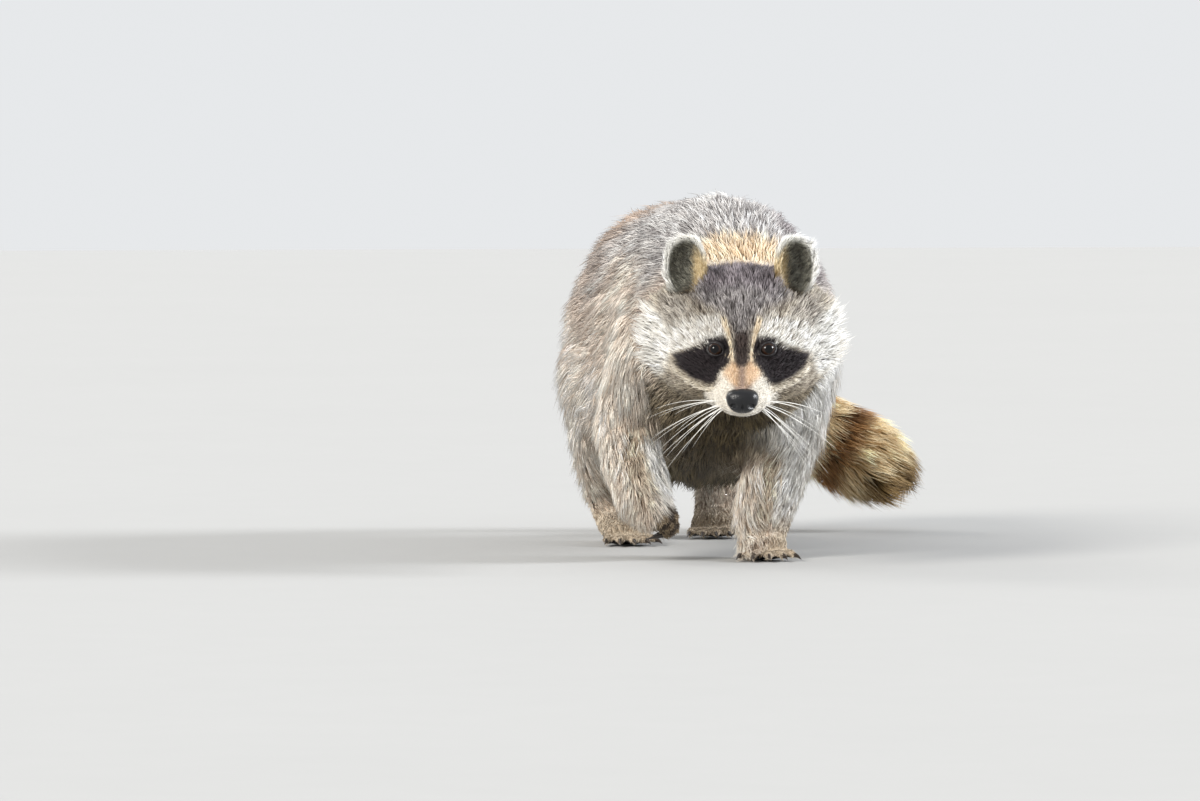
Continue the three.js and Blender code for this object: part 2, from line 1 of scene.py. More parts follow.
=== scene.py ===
# %% [markdown]
# # A life-size raccoon in its coat
# The animal walks towards the viewer with one forepaw lifted. Its solids give the outline of the coat,
# out to the tips of the hairs. This lesson turns them into a skin with many thousands of small tufts of
# hair on it, and adds the eyes, nose, whiskers and claws, much as a museum fits a hide over a carved form
# and sets glass eyes into it. Every size is in metres.

# %% Load the frame
import math
from types import SimpleNamespace

import bpy
import numpy as np
from mathutils import Matrix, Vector
from mathutils.bvhtree import BVHTree


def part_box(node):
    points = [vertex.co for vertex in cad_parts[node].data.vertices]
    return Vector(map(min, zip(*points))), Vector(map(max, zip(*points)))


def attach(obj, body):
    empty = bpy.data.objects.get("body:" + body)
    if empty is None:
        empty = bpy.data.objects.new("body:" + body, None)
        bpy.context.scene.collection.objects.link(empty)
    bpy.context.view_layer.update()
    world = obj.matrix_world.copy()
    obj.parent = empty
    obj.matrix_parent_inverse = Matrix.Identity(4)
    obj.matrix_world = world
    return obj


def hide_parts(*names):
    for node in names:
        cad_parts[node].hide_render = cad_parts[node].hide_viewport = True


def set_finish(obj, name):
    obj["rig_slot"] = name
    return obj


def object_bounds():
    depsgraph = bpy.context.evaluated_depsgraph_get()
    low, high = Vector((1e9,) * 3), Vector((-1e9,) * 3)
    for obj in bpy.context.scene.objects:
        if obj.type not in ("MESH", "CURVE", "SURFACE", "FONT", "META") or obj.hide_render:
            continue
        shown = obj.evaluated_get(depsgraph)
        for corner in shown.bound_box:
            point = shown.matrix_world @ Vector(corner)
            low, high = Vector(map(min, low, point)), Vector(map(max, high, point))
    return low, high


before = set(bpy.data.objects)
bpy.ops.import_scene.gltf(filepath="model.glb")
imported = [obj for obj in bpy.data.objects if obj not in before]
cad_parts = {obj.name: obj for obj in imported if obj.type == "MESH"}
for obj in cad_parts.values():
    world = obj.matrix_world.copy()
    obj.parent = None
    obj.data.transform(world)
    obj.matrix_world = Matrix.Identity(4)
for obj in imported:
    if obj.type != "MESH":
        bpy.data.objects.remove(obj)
CAD_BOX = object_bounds()
MM = 0.001
print(len(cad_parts), "solids, box", [round(v, 3) for v in CAD_BOX[1] - CAD_BOX[0]])

# %% [markdown]
# ## Small tools
# Arrays of points have one row for each point. A line that works on a whole array is far quicker than a
# loop over the corners of a mesh. These few helpers are used all through the lesson.

# %% Directions, blends and centres
def unit(v):
    """Each row divided by its length."""
    return v / np.maximum(np.linalg.norm(v, axis=-1, keepdims=True), 1e-12)


def dot(a, b):
    """The scalar product of each row of a with each row of b, kept as a column."""
    return np.sum(a * b, axis=-1, keepdims=True)


def ramp(x, low, high):
    """0 below low, 1 above high, and an even S-curve between them."""
    t = np.clip((x - low) / (high - low), 0, 1)
    return t * t * (3 - 2 * t)


def mix(a, b, share):
    """a where share is 0 and b where it is 1."""
    return a + (b - a) * share


def centre(node):
    """The middle of a solid's box."""
    low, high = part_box(node)
    return (np.array(low) + np.array(high)) / 2


def mesh_arrays(mesh):
    """A mesh's points, and the numbers of the corners of its triangles, as rows."""
    points = np.empty(len(mesh.vertices) * 3)
    mesh.vertices.foreach_get("co", points)
    mesh.calc_loop_triangles()
    corners = np.empty(len(mesh.loop_triangles) * 3, np.int32)
    mesh.loop_triangles.foreach_get("vertices", corners)
    return points.reshape(-1, 3), corners.reshape(-1, 3)


# %% Meshes from arrays
def mesh_from(name, points, faces):
    """An object with these points, and faces given as an array of three or four corners each."""
    mesh = bpy.data.meshes.new(name)
    count, corners = faces.shape
    mesh.vertices.add(len(points))
    mesh.vertices.foreach_set("co", np.ascontiguousarray(points, np.float32).ravel())
    mesh.loops.add(count * corners)
    mesh.loops.foreach_set("vertex_index", np.ascontiguousarray(faces, np.int32).ravel())
    mesh.polygons.add(count)
    mesh.polygons.foreach_set("loop_start", np.arange(count, dtype=np.int32) * corners)
    mesh.polygons.foreach_set("use_smooth", np.ones(count, bool))
    mesh.update(calc_edges=True)
    piece = bpy.data.objects.new(name, mesh)
    bpy.context.scene.collection.objects.link(piece)
    return piece


def set_colours(piece, name, colours):
    """Stores one colour for each point, as an attribute that a material reads."""
    attribute = piece.data.color_attributes.new(name, "FLOAT_COLOR", "POINT")
    rgba = np.ones((len(piece.data.vertices), 4), np.float32)
    rgba[:, :3] = colours
    attribute.data.foreach_set("color", rgba.ravel())


def set_map(piece, name, places):
    """Stores one place on a map for each corner of each face."""
    layer = piece.data.uv_layers.new(name=name)
    layer.data.foreach_set("uv", np.ascontiguousarray(places, np.float32).ravel())


def applied(piece):
    """The mesh that a piece's modifiers make of it. The piece itself is taken away."""
    made = bpy.data.meshes.new_from_object(piece.evaluated_get(bpy.context.evaluated_depsgraph_get()))
    bpy.data.objects.remove(piece)
    return made


# %% [markdown]
# ## The head's own directions
# Markings are drawn on the face as seen straight on. The eyes' middle is the start, `across` runs to the
# animal's left, `up` is the world's, and `ahead` is level and square to both. The long axis of the muzzle
# is a second direction, from the eyes to the nose.

# %% The face's frame
EYES = {side: centre(f"eye_{side}") for side in ("left", "right")}
EYES_MIDDLE = (EYES["left"] + EYES["right"]) / 2
NOSE = centre("nose")
UP = np.array([0.0, 0.0, 1.0])
ACROSS = unit(EYES["left"] - EYES["right"])
AHEAD = unit(np.cross(ACROSS, UP))


def face_place(points):
    """Millimetres to the animal's left, up and ahead of the middle of its eyes."""
    rows = (points - EYES_MIDDLE) / MM
    return rows @ ACROSS, rows @ UP, rows @ AHEAD


print("eyes", round(np.linalg.norm(EYES["left"] - EYES["right"]) / MM, 1), "mm apart; nose at",
      [round(float(v), 1) for v in face_place(NOSE)])

# %% [markdown]
# ## One skin for the whole body
# A hide runs over every joint without a seam, and the solids are cut apart by thin gaps. Boolean unions
# could join them, but would leave a sharp crease wherever a leg meets the trunk. So copies of the solids
# are pushed out a little, until neighbours overlap, and a voxel remesh makes one closed surface of them, as
# clay pressed together would be.

# %% Join the flesh
FLESH = [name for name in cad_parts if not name.startswith("claw_")]
OVERLAP = 0.5 * MM
VOXEL = 2.1 * MM


def point_normals(points, triangles):
    """The direction outwards at each point: the sum of its triangles' area-weighted normals."""
    a, b, c = (points[triangles[:, k]] for k in range(3))
    area = np.cross(b - a, c - a)
    total = np.zeros_like(points)
    for k in range(3):
        for axis in range(3):
            total[:, axis] += np.bincount(triangles[:, k], area[:, axis], len(points))
    return unit(total)


def welded(node):
    """A solid's points with its doubles merged, and its triangles without those that had no area."""
    points, triangles = mesh_arrays(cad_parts[node].data)
    places = np.round(points / (0.01 * MM))
    _, first, back = np.unique(places, axis=0, return_index=True, return_inverse=True)
    triangles = back.reshape(-1)[triangles]
    whole = (triangles != np.roll(triangles, -1, axis=1)).all(axis=1)
    return points[first], triangles[whole]


def joined(names, grow):
    """Copies of these solids in one mesh, each pushed out by grow, and which solid each triangle is of."""
    points, faces, owners, start = [], [], [], 0
    for index, name in enumerate(names):
        own, triangles = welded(name)
        points.append(own + grow * point_normals(own, triangles))
        faces.append(triangles + start)
        owners.append(np.full(len(triangles), index))
        start += len(own)
    return np.concatenate(points), np.concatenate(faces), np.concatenate(owners)


def remeshed(points, faces, voxel):
    """The outer surface of these closed meshes on a grid of voxels, as points and four-cornered faces."""
    piece = mesh_from("clay", points, faces)
    modifier = piece.modifiers.new("one_surface", "REMESH")
    modifier.mode = "VOXEL"
    modifier.voxel_size = voxel
    made = applied(piece)
    points = mesh_arrays(made)[0]
    corners = np.empty(len(made.loops), np.int32)
    made.loops.foreach_get("vertex_index", corners)
    bpy.data.meshes.remove(made)
    return points, corners.reshape(-1, 4)


flesh_points, flesh_faces, flesh_owner = joined(FLESH, OVERLAP)
skin_points, skin_quads = remeshed(flesh_points, flesh_faces, VOXEL)
print("skin", len(skin_points), "points,", len(skin_quads), "faces")

# %% [markdown]
# ## Fair the facets
# The solids are many-sided, so the clay shows their edges, and hair set on it would show them too. A
# Smooth modifier could ease them, one strength at a time. Worked out on arrays, each point is drawn towards
# the mean of its neighbours, many times on the broad trunk and only a little on the toes and ears, which
# would shrink, and the strength blends from part to part.

# %% Neighbours and smoothing
def edges_of(faces):
    """Each edge once, as a pair of points, for faces of any one number of corners."""
    rolled = np.roll(faces, -1, axis=1)
    pairs = np.stack([faces.ravel(), rolled.ravel()], axis=1)
    return np.unique(np.sort(pairs, axis=1), axis=0)


def neighbour_mean(values, edges):
    """For each point, the mean of what its neighbours hold."""
    a, b = edges[:, 0], edges[:, 1]
    count = np.bincount(a, minlength=len(values)) + np.bincount(b, minlength=len(values))
    total = np.empty_like(values)
    for column in range(values.shape[1]):
        total[:, column] = np.bincount(a, values[b, column], len(values))
        total[:, column] += np.bincount(b, values[a, column], len(values))
    return total / np.maximum(count, 1)[:, None]


def relaxed(values, edges, rounds, pull=0.5):
    """The values after that many rounds: each moves them by the share pull to their neighbours' mean."""
    for _ in range(rounds):
        values = values + pull * (neighbour_mean(values, edges) - values)
    return values


# %% Which part of the body each point belongs to
PARTS = {
    "muzzle": ("muzzle", "lower_jaw", "nose"),
    "head": ("head", "eye_left", "eye_right"),
    "ear": ("ear_left", "ear_right"),
    "neck": ("neck",),
    "trunk": ("chest", "barrel", "hindquarters"),
    "upper": ("upper_arm", "thigh"),
    "lower": ("forearm", "shank"),
    "foot": ("paw", "foot"),
    "tail": ("tail_1", "tail_2", "tail_3", "tail_4"),
}
PART_OF_NODE = np.array([
    next(i for i, endings in enumerate(PARTS.values()) if name.endswith(endings)) for name in FLESH
])
flesh_tree = BVHTree.FromPolygons(flesh_points.tolist(), flesh_faces.tolist())


def nearest_node(points):
    """For each point, the number in FLESH of the solid whose surface is nearest."""
    return flesh_owner[[flesh_tree.find_nearest(p)[2] for p in points.tolist()]]


def part_shares(points, edges, rounds):
    """One column for each part of the body, with soft borders, and the nearest solid."""
    node = nearest_node(points)
    shares = np.eye(len(PARTS))[PART_OF_NODE[node]]
    return relaxed(shares, edges, rounds), node


PART = {name: i for i, name in enumerate(PARTS)}
skin_edges = edges_of(skin_quads)
rough_shares, _ = part_shares(skin_points, skin_edges, 6)
FAIRING = {
    "muzzle": 0.16, "head": 0.42, "ear": 0.06, "neck": 1.0, "trunk": 1.0,
    "upper": 0.7, "lower": 0.3, "foot": 0.07, "tail": 0.5,
}
FAIRING_ROUNDS = 90
FAIRING_PULL = 0.6  # where the table above says 1
pull = (rough_shares @ np.array([FAIRING[name] for name in PARTS]))[:, None] * FAIRING_PULL
skin_points = relaxed(skin_points, skin_edges, FAIRING_ROUNDS, pull)
print("faired", len(skin_points), "points")

# %% [markdown]
# ## Fine where it shows, coarse under the long hair
# The trunk's skin is hidden by its coat, so a Decimate modifier thins it there. Round the eyes and the
# nose the faces are split instead, because the lids are only a millimetre thick. A finer remesh of the whole
# body would also do, but with many times the faces, most of them out of sight.

# %% Thin the trunk
THIN_SHARE = 0.30
HEAD_MIDDLE = EYES_MIDDLE - 20 * MM * AHEAD
HEAD_REACH = 150 * MM


def thinned(points, faces, keep, share):
    """The mesh with its faces collapsed to that share, sparing the points where keep is true."""
    piece = mesh_from("thin", points, faces)
    group = piece.vertex_groups.new(name="thin")
    group.add(np.flatnonzero(~keep).tolist(), 1.0, "REPLACE")
    modifier = piece.modifiers.new("thin", "DECIMATE")
    modifier.ratio = share
    modifier.vertex_group = "thin"
    made = applied(piece)
    arrays = mesh_arrays(made)
    bpy.data.meshes.remove(made)
    return arrays


keep_fine = np.linalg.norm(skin_points - HEAD_MIDDLE, axis=1) < HEAD_REACH
keep_fine |= rough_shares[:, PART["foot"]] > 0.3
keep_fine &= rough_shares[:, PART["trunk"]] < 0.5
skin_points, skin_faces = thinned(skin_points, skin_quads, keep_fine, THIN_SHARE)
print("skin thinned to", len(skin_faces), "triangles")

# %% Refine the face
EYE_FINE, MOUTH_FINE = 19 * MM, 30 * MM
SPLITS = {  # by how many sides are cut: new triangles of corners 0, 1, 2 and the middles 3, 4, 5 of sides
    0: [(0, 1, 2)],
    1: [(0, 3, 2), (3, 1, 2)],
    2: [(3, 1, 4), (0, 3, 4), (0, 4, 2)],
    3: [(0, 3, 5), (3, 1, 4), (5, 4, 2), (3, 4, 5)],
}


def split_near(points, triangles, places):
    """Each triangle near one of the places is split into four. A neighbour with one or two cut sides is
    split to match, so the surface stays closed. places are (middle, reach) pairs."""
    near = np.zeros(len(points), bool)
    for middle, reach in places:
        near |= np.linalg.norm(points - middle, axis=1) < reach
    edges, stride = edges_of(triangles), len(points)
    cut = near[edges].all(axis=1)
    number = np.full(len(edges), -1)
    number[cut] = len(points) + np.arange(cut.sum())
    points = np.concatenate([points, points[edges[cut]].mean(axis=1)])
    key = edges[:, 0].astype(np.int64) * stride + edges[:, 1]
    after = np.roll(triangles, -1, axis=1)
    wanted = np.minimum(triangles, after).astype(np.int64) * stride + np.maximum(triangles, after)
    middles = number[np.searchsorted(key, wanted)]
    cuts = (middles >= 0).sum(axis=1)
    six = np.concatenate([triangles, middles], axis=1)
    made = [six[cuts == n][:, corners] for n in (0, 3) for corners in SPLITS[n]]
    for turn in range(3):
        ends, sides = np.roll(triangles, -turn, axis=1), np.roll(middles, -turn, axis=1)
        six = np.concatenate([ends, sides], axis=1)
        for n, starts in ((1, sides[:, 0] >= 0), (2, sides[:, 2] < 0)):
            made += [six[(cuts == n) & starts][:, corners] for corners in SPLITS[n]]
    return points, np.concatenate(made)


eye_places = [(EYES[side], EYE_FINE) for side in EYES]
skin_points, skin_faces = split_near(skin_points, skin_faces, eye_places + [(NOSE, MOUTH_FINE)])
skin_points, skin_faces = split_near(skin_points, skin_faces, eye_places)
skin_edges = edges_of(skin_faces)
print("skin now", len(skin_points), "points,", len(skin_faces), "triangles")

# %% [markdown]
# ## The lifted paw
# The paw hangs folded from its wrist, so its knuckles face the viewer: they are nearly bare and dark, and a
# crease runs round them. Both coat and colours need to know how far a place is from them, and how far up
# its limb it lies, because hair grows longer from the toes to the elbow or the knee.

# %% Measures on the paws
KNUCKLES_FROM_CLAWS = np.array([14.0, -2.0, 9.0]) * MM
KNUCKLES = {"reach": 15.0, "soft": 3.0, "crease": 2.2, "crease_width": 2.2, "hair": 3.4}
KNUCKLES_DEEP = 40 * MM
OFF_THE_KNUCKLES = 99.0
NEAR_CLAWS = (60, 110)  # millimetres from the lifted claws, over which the floor takes over as the measure
FULL_HAIR = (9, 74)  # millimetres from the toes, over which the hair reaches its full length


def claws_of(leg):
    """The solids of one paw's claws."""
    return [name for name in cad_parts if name.startswith(f"claw_{leg}_")]


def claws_middle(leg):
    """The middle of one paw's claws."""
    return np.mean([centre(claw) for claw in claws_of(leg)], axis=0)


def limb_reach(points):
    """0 at the toes and 1 where a limb's hair has its full length: by the height over the floor, or on
    the lifted paw by the distance from its claws."""
    from_claws = np.linalg.norm(points - claws_middle("fore_right"), axis=1) / MM
    return ramp(mix(from_claws, points[:, 2] / MM, ramp(from_claws, *NEAR_CLAWS)), *FULL_HAIR)


def folded_reach(points):
    """Millimetres, seen from the front, from the middle of the lifted paw's knuckles, which stand beside
    its claws; a point far in front or behind is not on them."""
    away = points - claws_middle("fore_right") - KNUCKLES_FROM_CLAWS
    seen = np.hypot(away @ ACROSS, away @ UP) / MM
    return np.where(np.abs(away @ AHEAD) < KNUCKLES_DEEP, seen, OFF_THE_KNUCKLES)


# %% [markdown]
# ## How deep the coat is
# The solids reach out to the tips of the hairs, so the skin lies under them by the depth of the coat:
# a millimetre on the toes, and a finger's width on the back. A hair that leans over stands only about a
# third of its length above its root. Length and depth are given for each part and blended between them.

# %% Length and depth of the coat
COAT = {  # length of a hair, depth of the coat, gap between roots and width of a tuft, in millimetres
    "muzzle": (4.0, 1.0, 1.0, 0.75),
    "head": (7.2, 2.4, 1.08, 0.68),
    "ear": (7.0, 0.7, 0.95, 0.6),
    "neck": (24.0, 9.5, 1.75, 1.25),
    "trunk": (40.0, 14.0, 2.12, 1.32),
    "upper": (30.0, 8.5, 1.8, 1.1),
    "lower": (23.0, 4.6, 1.55, 0.95),
    "foot": (5.0, 0.9, 1.25, 0.85),
    "tail": (28.0, 12.0, 1.8, 1.2),
}
COAT_TABLE = np.array([COAT[name] for name in PARTS])
skin_shares, skin_node = part_shares(skin_points, skin_edges, 22)


def head_growth(points):
    """How much longer than on the face the hair is: 0 at the nose, 1 on the crown, 3 in the cheek ruffs."""
    u, v, w = face_place(points)
    from_nose = np.linalg.norm(points - NOSE, axis=1) / MM
    crown = ramp(from_nose, 55, 120)
    ruff = ramp(np.abs(u), 50, 74) * (1 - ramp(v, 22, 46)) + 0.6 * ramp(-v, 40, 70) * ramp(-w, 0, 40)
    return crown + 2.4 * np.clip(ruff, 0, 1)


def ear_place(points):
    """How far outwards and up each point lies on its ear, from -1 to 1 between the ear's sides, and how
    far out from the ear's middle: 1 on its rim."""
    u, v, _ = face_place(points)
    low, high = (face_place(np.array(corner)[None]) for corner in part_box("ear_left"))
    middle = {side: face_place(centre(f"ear_{side}")[None]) for side in EYES}
    from_middle = np.abs(u) - np.where(u > 0, middle["left"][0], -middle["right"][0])
    across = from_middle / (high[0] - low[0]) * 2
    upward = (v - np.where(u > 0, middle["left"][1], middle["right"][1])) / (high[1] - low[1]) * 2
    return across, upward, np.hypot(across, upward)


def ear_rim(points, shares):
    """1 on the upper and outer rim of an ear, where the longest hair stands out."""
    across, upward, out = ear_place(points)
    rim = ramp(out, 0.8, 0.96) * ramp(upward, -0.8, -0.4) * ramp(across + upward, -0.9, 0.0)
    return ramp(shares[:, PART["ear"]], 0.35, 0.75) * rim


# %% The coat at each point
EAR_RIM_HAIR = 3.6
HEAD_GROWTH = np.array([6.0, 2.3, 0.18, 0.12])  # more length, depth, gap and width for each step of growth


def coat_of(points, shares):
    """Length, depth, root gap and tuft width at each point, in metres: the parts' own, blended by the
    shares, with longer hair on the ears' rims and in the ruffs, and short hair on the folded knuckles."""
    coat = shares @ COAT_TABLE
    coat[:, 0] += EAR_RIM_HAIR * ear_rim(points, shares)
    knuckles = 1 - ramp(folded_reach(points), KNUCKLES["reach"] - 2, KNUCKLES["reach"] + KNUCKLES["soft"])
    knuckles = knuckles * ramp(shares[:, PART["lower"]] + shares[:, PART["foot"]], 0.3, 0.7)
    coat[:, 0] = mix(coat[:, 0], KNUCKLES["hair"], knuckles)
    growth = head_growth(points) * shares[:, PART["head"]]
    return (coat + growth[:, None] * HEAD_GROWTH) * MM


limb_share = skin_shares[:, PART["lower"]] + skin_shares[:, PART["foot"]]
up_limb = limb_reach(skin_points)
skin_shares[:, PART["foot"]] = limb_share * (1 - up_limb)
skin_shares[:, PART["lower"]] = limb_share * up_limb
skin_coat = coat_of(skin_points, skin_shares)
print("hair from", round(skin_coat[:, 0].min() / MM, 1), "to", round(skin_coat[:, 0].max() / MM, 1), "mm")

# %% Lower the skin by the coat's depth
smooth_normals = unit(relaxed(point_normals(skin_points, skin_faces), skin_edges, 4))
skin_points = skin_points - smooth_normals * skin_coat[:, 1:2]
settle = 0.5 * (1 - skin_shares[:, [PART["foot"]]] - skin_shares[:, [PART["ear"]]])
skin_points = relaxed(skin_points, skin_edges, 3, settle)
print("skin lowered by up to", round(skin_coat[:, 1].max() / MM, 1), "mm")

# %% [markdown]
# ## Eyelids and lips
# A raccoon's lids are thin dark rims that lie close to the eye. They could be rings of their own, but a
# ring would leave a gap or a step in the fur round it. So the skin itself is pressed onto a ball a little
# larger than the eyeball to make the lids, and inside the almond of the opening it dips behind the eyeball.
# The lips are a narrow furrow where the upper and the lower solid of the muzzle meet.

# %% Eyelids
EYE_RADIUS = (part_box("eye_left")[1].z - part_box("eye_left")[0].z) / 2
EYE_OPENING = (6.5 * MM, 4.9 * MM)  # half its width and half its height
LID = 0.9 * MM
LID_THINS = 0.5 * MM  # towards its outer border
BEHIND_EYE = 2.2 * MM
OPENING_TILT = 0.16
LID_REACH = 2.4  # eye radii from the eye's middle
SHUT = 9.0  # as far from an opening as a point can be
GAZE = {"surface": 0.45, "ahead": 0.55}


def eye_axes(side):
    """Directions out to the side, up and forward along the gaze of one eye."""
    reach = np.linalg.norm(skin_points - EYES[side], axis=1) < 15 * MM
    surface = unit(smooth_normals[reach].mean(axis=0))
    gaze = unit(GAZE["surface"] * surface + GAZE["ahead"] * AHEAD)
    out = ACROSS if side == "left" else -ACROSS
    out = unit(out - gaze * (out @ gaze))
    above = np.cross(gaze, out)
    return out, above * np.sign(above @ UP), gaze


def press_lids(points, middle, axes):
    """The points with this eye's lids pressed in, and 1 where the lids are. An ellipse in the gaze's own
    directions is the opening: 1 on its border, less inside it and more outside."""
    out, above, gaze = axes
    offset = points - middle
    away = unit(offset)
    slant = away @ above - OPENING_TILT * (away @ out)
    opening = np.hypot(away @ out * EYE_RADIUS / EYE_OPENING[0], slant * EYE_RADIUS / EYE_OPENING[1])
    faces_out = (away @ gaze > 0) & (np.linalg.norm(offset, axis=1) < LID_REACH * EYE_RADIUS)
    opening = np.where(faces_out, opening, SHUT)
    ball = EYE_RADIUS + mix(-BEHIND_EYE, LID, ramp(opening, 0.86, 1.04))
    ball = ball - LID_THINS * ramp(opening, 1.05, 1.5)
    hold = (1 - ramp(opening, 1.25, 2.0))[:, None]
    return mix(points, middle + away * ball[:, None], hold), 1 - ramp(opening, 1.06, 1.32)


EYE_AXES = {side: eye_axes(side) for side in EYES}
lid_mask = np.zeros(len(skin_points))
for side in EYES:
    skin_points, lids = press_lids(skin_points, EYES[side], EYE_AXES[side])
    lid_mask = np.maximum(lid_mask, lids)
print("lids", int((lid_mask > 0.5).sum()), "points")

# %% Lips
LIP_FURROW = 1.5 * MM


def spread_of(node):
    """1 at the points whose nearest solid is this one, fading over the border to its neighbours."""
    return relaxed((np.array(FLESH)[skin_node] == node).astype(float)[:, None], skin_edges, 7)[:, 0]


lip_mask = np.clip(4 * spread_of("muzzle") * spread_of("lower_jaw"), 0, 1) ** 2
skin_normals = unit(relaxed(point_normals(skin_points, skin_faces), skin_edges, 2))
skin_points = skin_points - skin_normals * (LIP_FURROW * lip_mask)[:, None]
skin_normals = point_normals(skin_points, skin_faces)
print("lips", int((lip_mask > 0.5).sum()), "points")

# %% [markdown]
# The lifted paw shows as a round knob because its skin folds in round the knuckles. A narrow groove whose
# section is a bell curve makes that fold, only on the side that faces the viewer.

# %% The crease round the knuckles
from_crease = (folded_reach(skin_points) - KNUCKLES["reach"]) / KNUCKLES["crease_width"]
crease = np.exp(-(from_crease**2))
crease *= ramp(skin_shares[:, PART["foot"]], 0.4, 0.8) * ramp(skin_normals @ AHEAD, -0.1, 0.4)
skin_points = skin_points - skin_normals * (KNUCKLES["crease"] * MM * crease)[:, None]
skin_normals = point_normals(skin_points, skin_faces)
print("crease up to", round(KNUCKLES["crease"] * crease.max(), 1), "mm deep")

# %% [markdown]
# ## The lie of the coat
# Hair on the head runs back from the nose, on the trunk back and down, on a limb towards its toes, and
# on the tail towards its tip. It could be combed by hand, but a rule can be read and repeated. Each part
# gives one direction, which is laid flat on the skin, and the directions are then evened out with their
# neighbours, so that the coat turns without a parting.

# %% Directions of the hair
LEGS = [f"{end}_{side}" for end in ("fore", "hind") for side in ("left", "right")]
LEG_PIECES = {"fore": ("upper_arm", "forearm", "paw"), "hind": ("thigh", "shank", "foot")}
LEG_NODES = {leg: [f"{leg}_{piece}" for piece in LEG_PIECES[leg[:4]]] for leg in LEGS}
TAIL = PARTS["tail"]
TRUNK_LIE = np.array([0.0, 1.0, -0.28])
RUMP_LIE = np.array([0.0, 1.0, -0.5])
FACE_START = NOSE - 6 * MM * AHEAD


def chain_lie(names, end):
    """For each solid of a limb or of the tail, the direction from its middle to the next one's."""
    places = [centre(name) for name in names] + [end]
    return {name: unit(after - before) for name, before, after in zip(names, places, places[1:])}


def lie_of_nodes():
    """For each solid of the flesh, the direction of its hair before it is laid on the skin."""
    lie = {name: TRUNK_LIE for name in FLESH}
    lie["hindquarters"] = RUMP_LIE
    for leg in LEGS:
        lie.update(chain_lie(LEG_NODES[leg], claws_middle(leg)))
    lie.update(chain_lie(TAIL, 2 * centre(TAIL[-1]) - centre(TAIL[-2])))
    return np.array([lie[name] for name in FLESH])


def laid(lie):
    """The directions with the part of them that leaves the skin taken away."""
    return lie - skin_normals * dot(lie, skin_normals)


head_like = skin_shares[:, [PART["head"]]] + skin_shares[:, [PART["muzzle"]]]
lie = mix(lie_of_nodes()[skin_node], unit(skin_points - FACE_START), ramp(head_like, 0.2, 0.8))
side_of_face = np.sign(face_place(skin_points)[0])[:, None]
ear_lie = 0.6 * UP + 0.8 * side_of_face * ACROSS
lie = mix(lie, ear_lie, ramp(skin_shares[:, [PART["ear"]]], 0.2, 0.7))
for _ in range(14):
    lie = relaxed(unit(laid(lie)), skin_edges, 2)
lie = unit(laid(lie))
print("lie of the coat set at", len(lie), "points")

# %% [markdown]
# ## Repeatable chance
# Locks of hair, patches of tone and blurred borders need random numbers that belong to places, so that
# neighbouring hairs agree. Whole numbers of a grid cell are scrambled into fractions for that.

# %% Numbers that belong to places
def fractions(cells, seed):
    """Three fractions for each row of whole numbers: products with odd constants, folded and scaled."""
    words = cells.astype(np.int64).astype(np.uint64)
    code = words[:, 0] * np.uint64(0x9E3779B97F4A7C15) + words[:, 1] * np.uint64(0xC2B2AE3D27D4EB4F)
    code += words[:, 2] * np.uint64(0x165667B19E3779F9) + np.uint64(seed * 0xD6E8FEB86659FD93 % 2**64)
    code = (code ^ (code >> np.uint64(32))) * np.uint64(0xD6E8FEB86659FD93)
    code = (code ^ (code >> np.uint64(32))) * np.uint64(0xD6E8FEB86659FD93)
    code ^= code >> np.uint64(32)
    parts = [(code >> np.uint64(21 * k)) & np.uint64(0x1FFFFF) for k in range(3)]
    return np.stack(parts, axis=1) / float(0x1FFFFF)


def cloud(points, size, seed):
    """Smooth noise from -1 to 1: random values at the corners of cubes of that size, blended between."""
    place = points / size
    cell = np.floor(place)
    t = place - cell
    t = t * t * (3 - 2 * t)
    total = np.zeros(len(points))
    for corner in np.ndindex(2, 2, 2):
        step = np.array(corner)
        weight = np.prod(np.where(step == 1, t, 1 - t), axis=1)
        total += weight * fractions(cell + step, seed)[:, 0]
    return 2 * total - 1


def locks(points, cell, seed):
    """The nearest centre of a lock, with one centre set at random in each cube of a grid, and that lock's
    own three fractions."""
    home = np.floor(points / cell)
    nearest = np.full(len(points), np.inf)
    middle, own = np.zeros_like(points), np.zeros_like(points)
    for step in np.ndindex(3, 3, 3):
        cube = home + np.array(step) - 1
        place = (cube + fractions(cube, seed)) * cell
        gap = np.sum((points - place) ** 2, axis=1)
        closer = gap < nearest
        nearest[closer] = gap[closer]
        middle[closer] = place[closer]
        own[closer] = fractions(cube[closer], seed + 1)
    return middle, own


# %% [markdown]
# ## Markings
# Each hair runs from a dark root to a dark or a light tip, as a raccoon's guard hairs are banded. A
# marking gives its darker and its lighter tone, and the share of hairs with dark tips. Markings of the
# face are outlines in millimetres to the side and up from the middle of the eyes, the same on both sides.
# They could be painted on a map by hand, but an outline can be read, measured and moved.

# %% Tones
def tone(red, green, blue):
    """A colour as screens give it, from 0 to 255, in the linear values that light is reckoned in."""
    share = np.array([red, green, blue]) / 255
    return np.where(share <= 0.04045, share / 12.92, ((share + 0.055) / 1.055) ** 2.4)


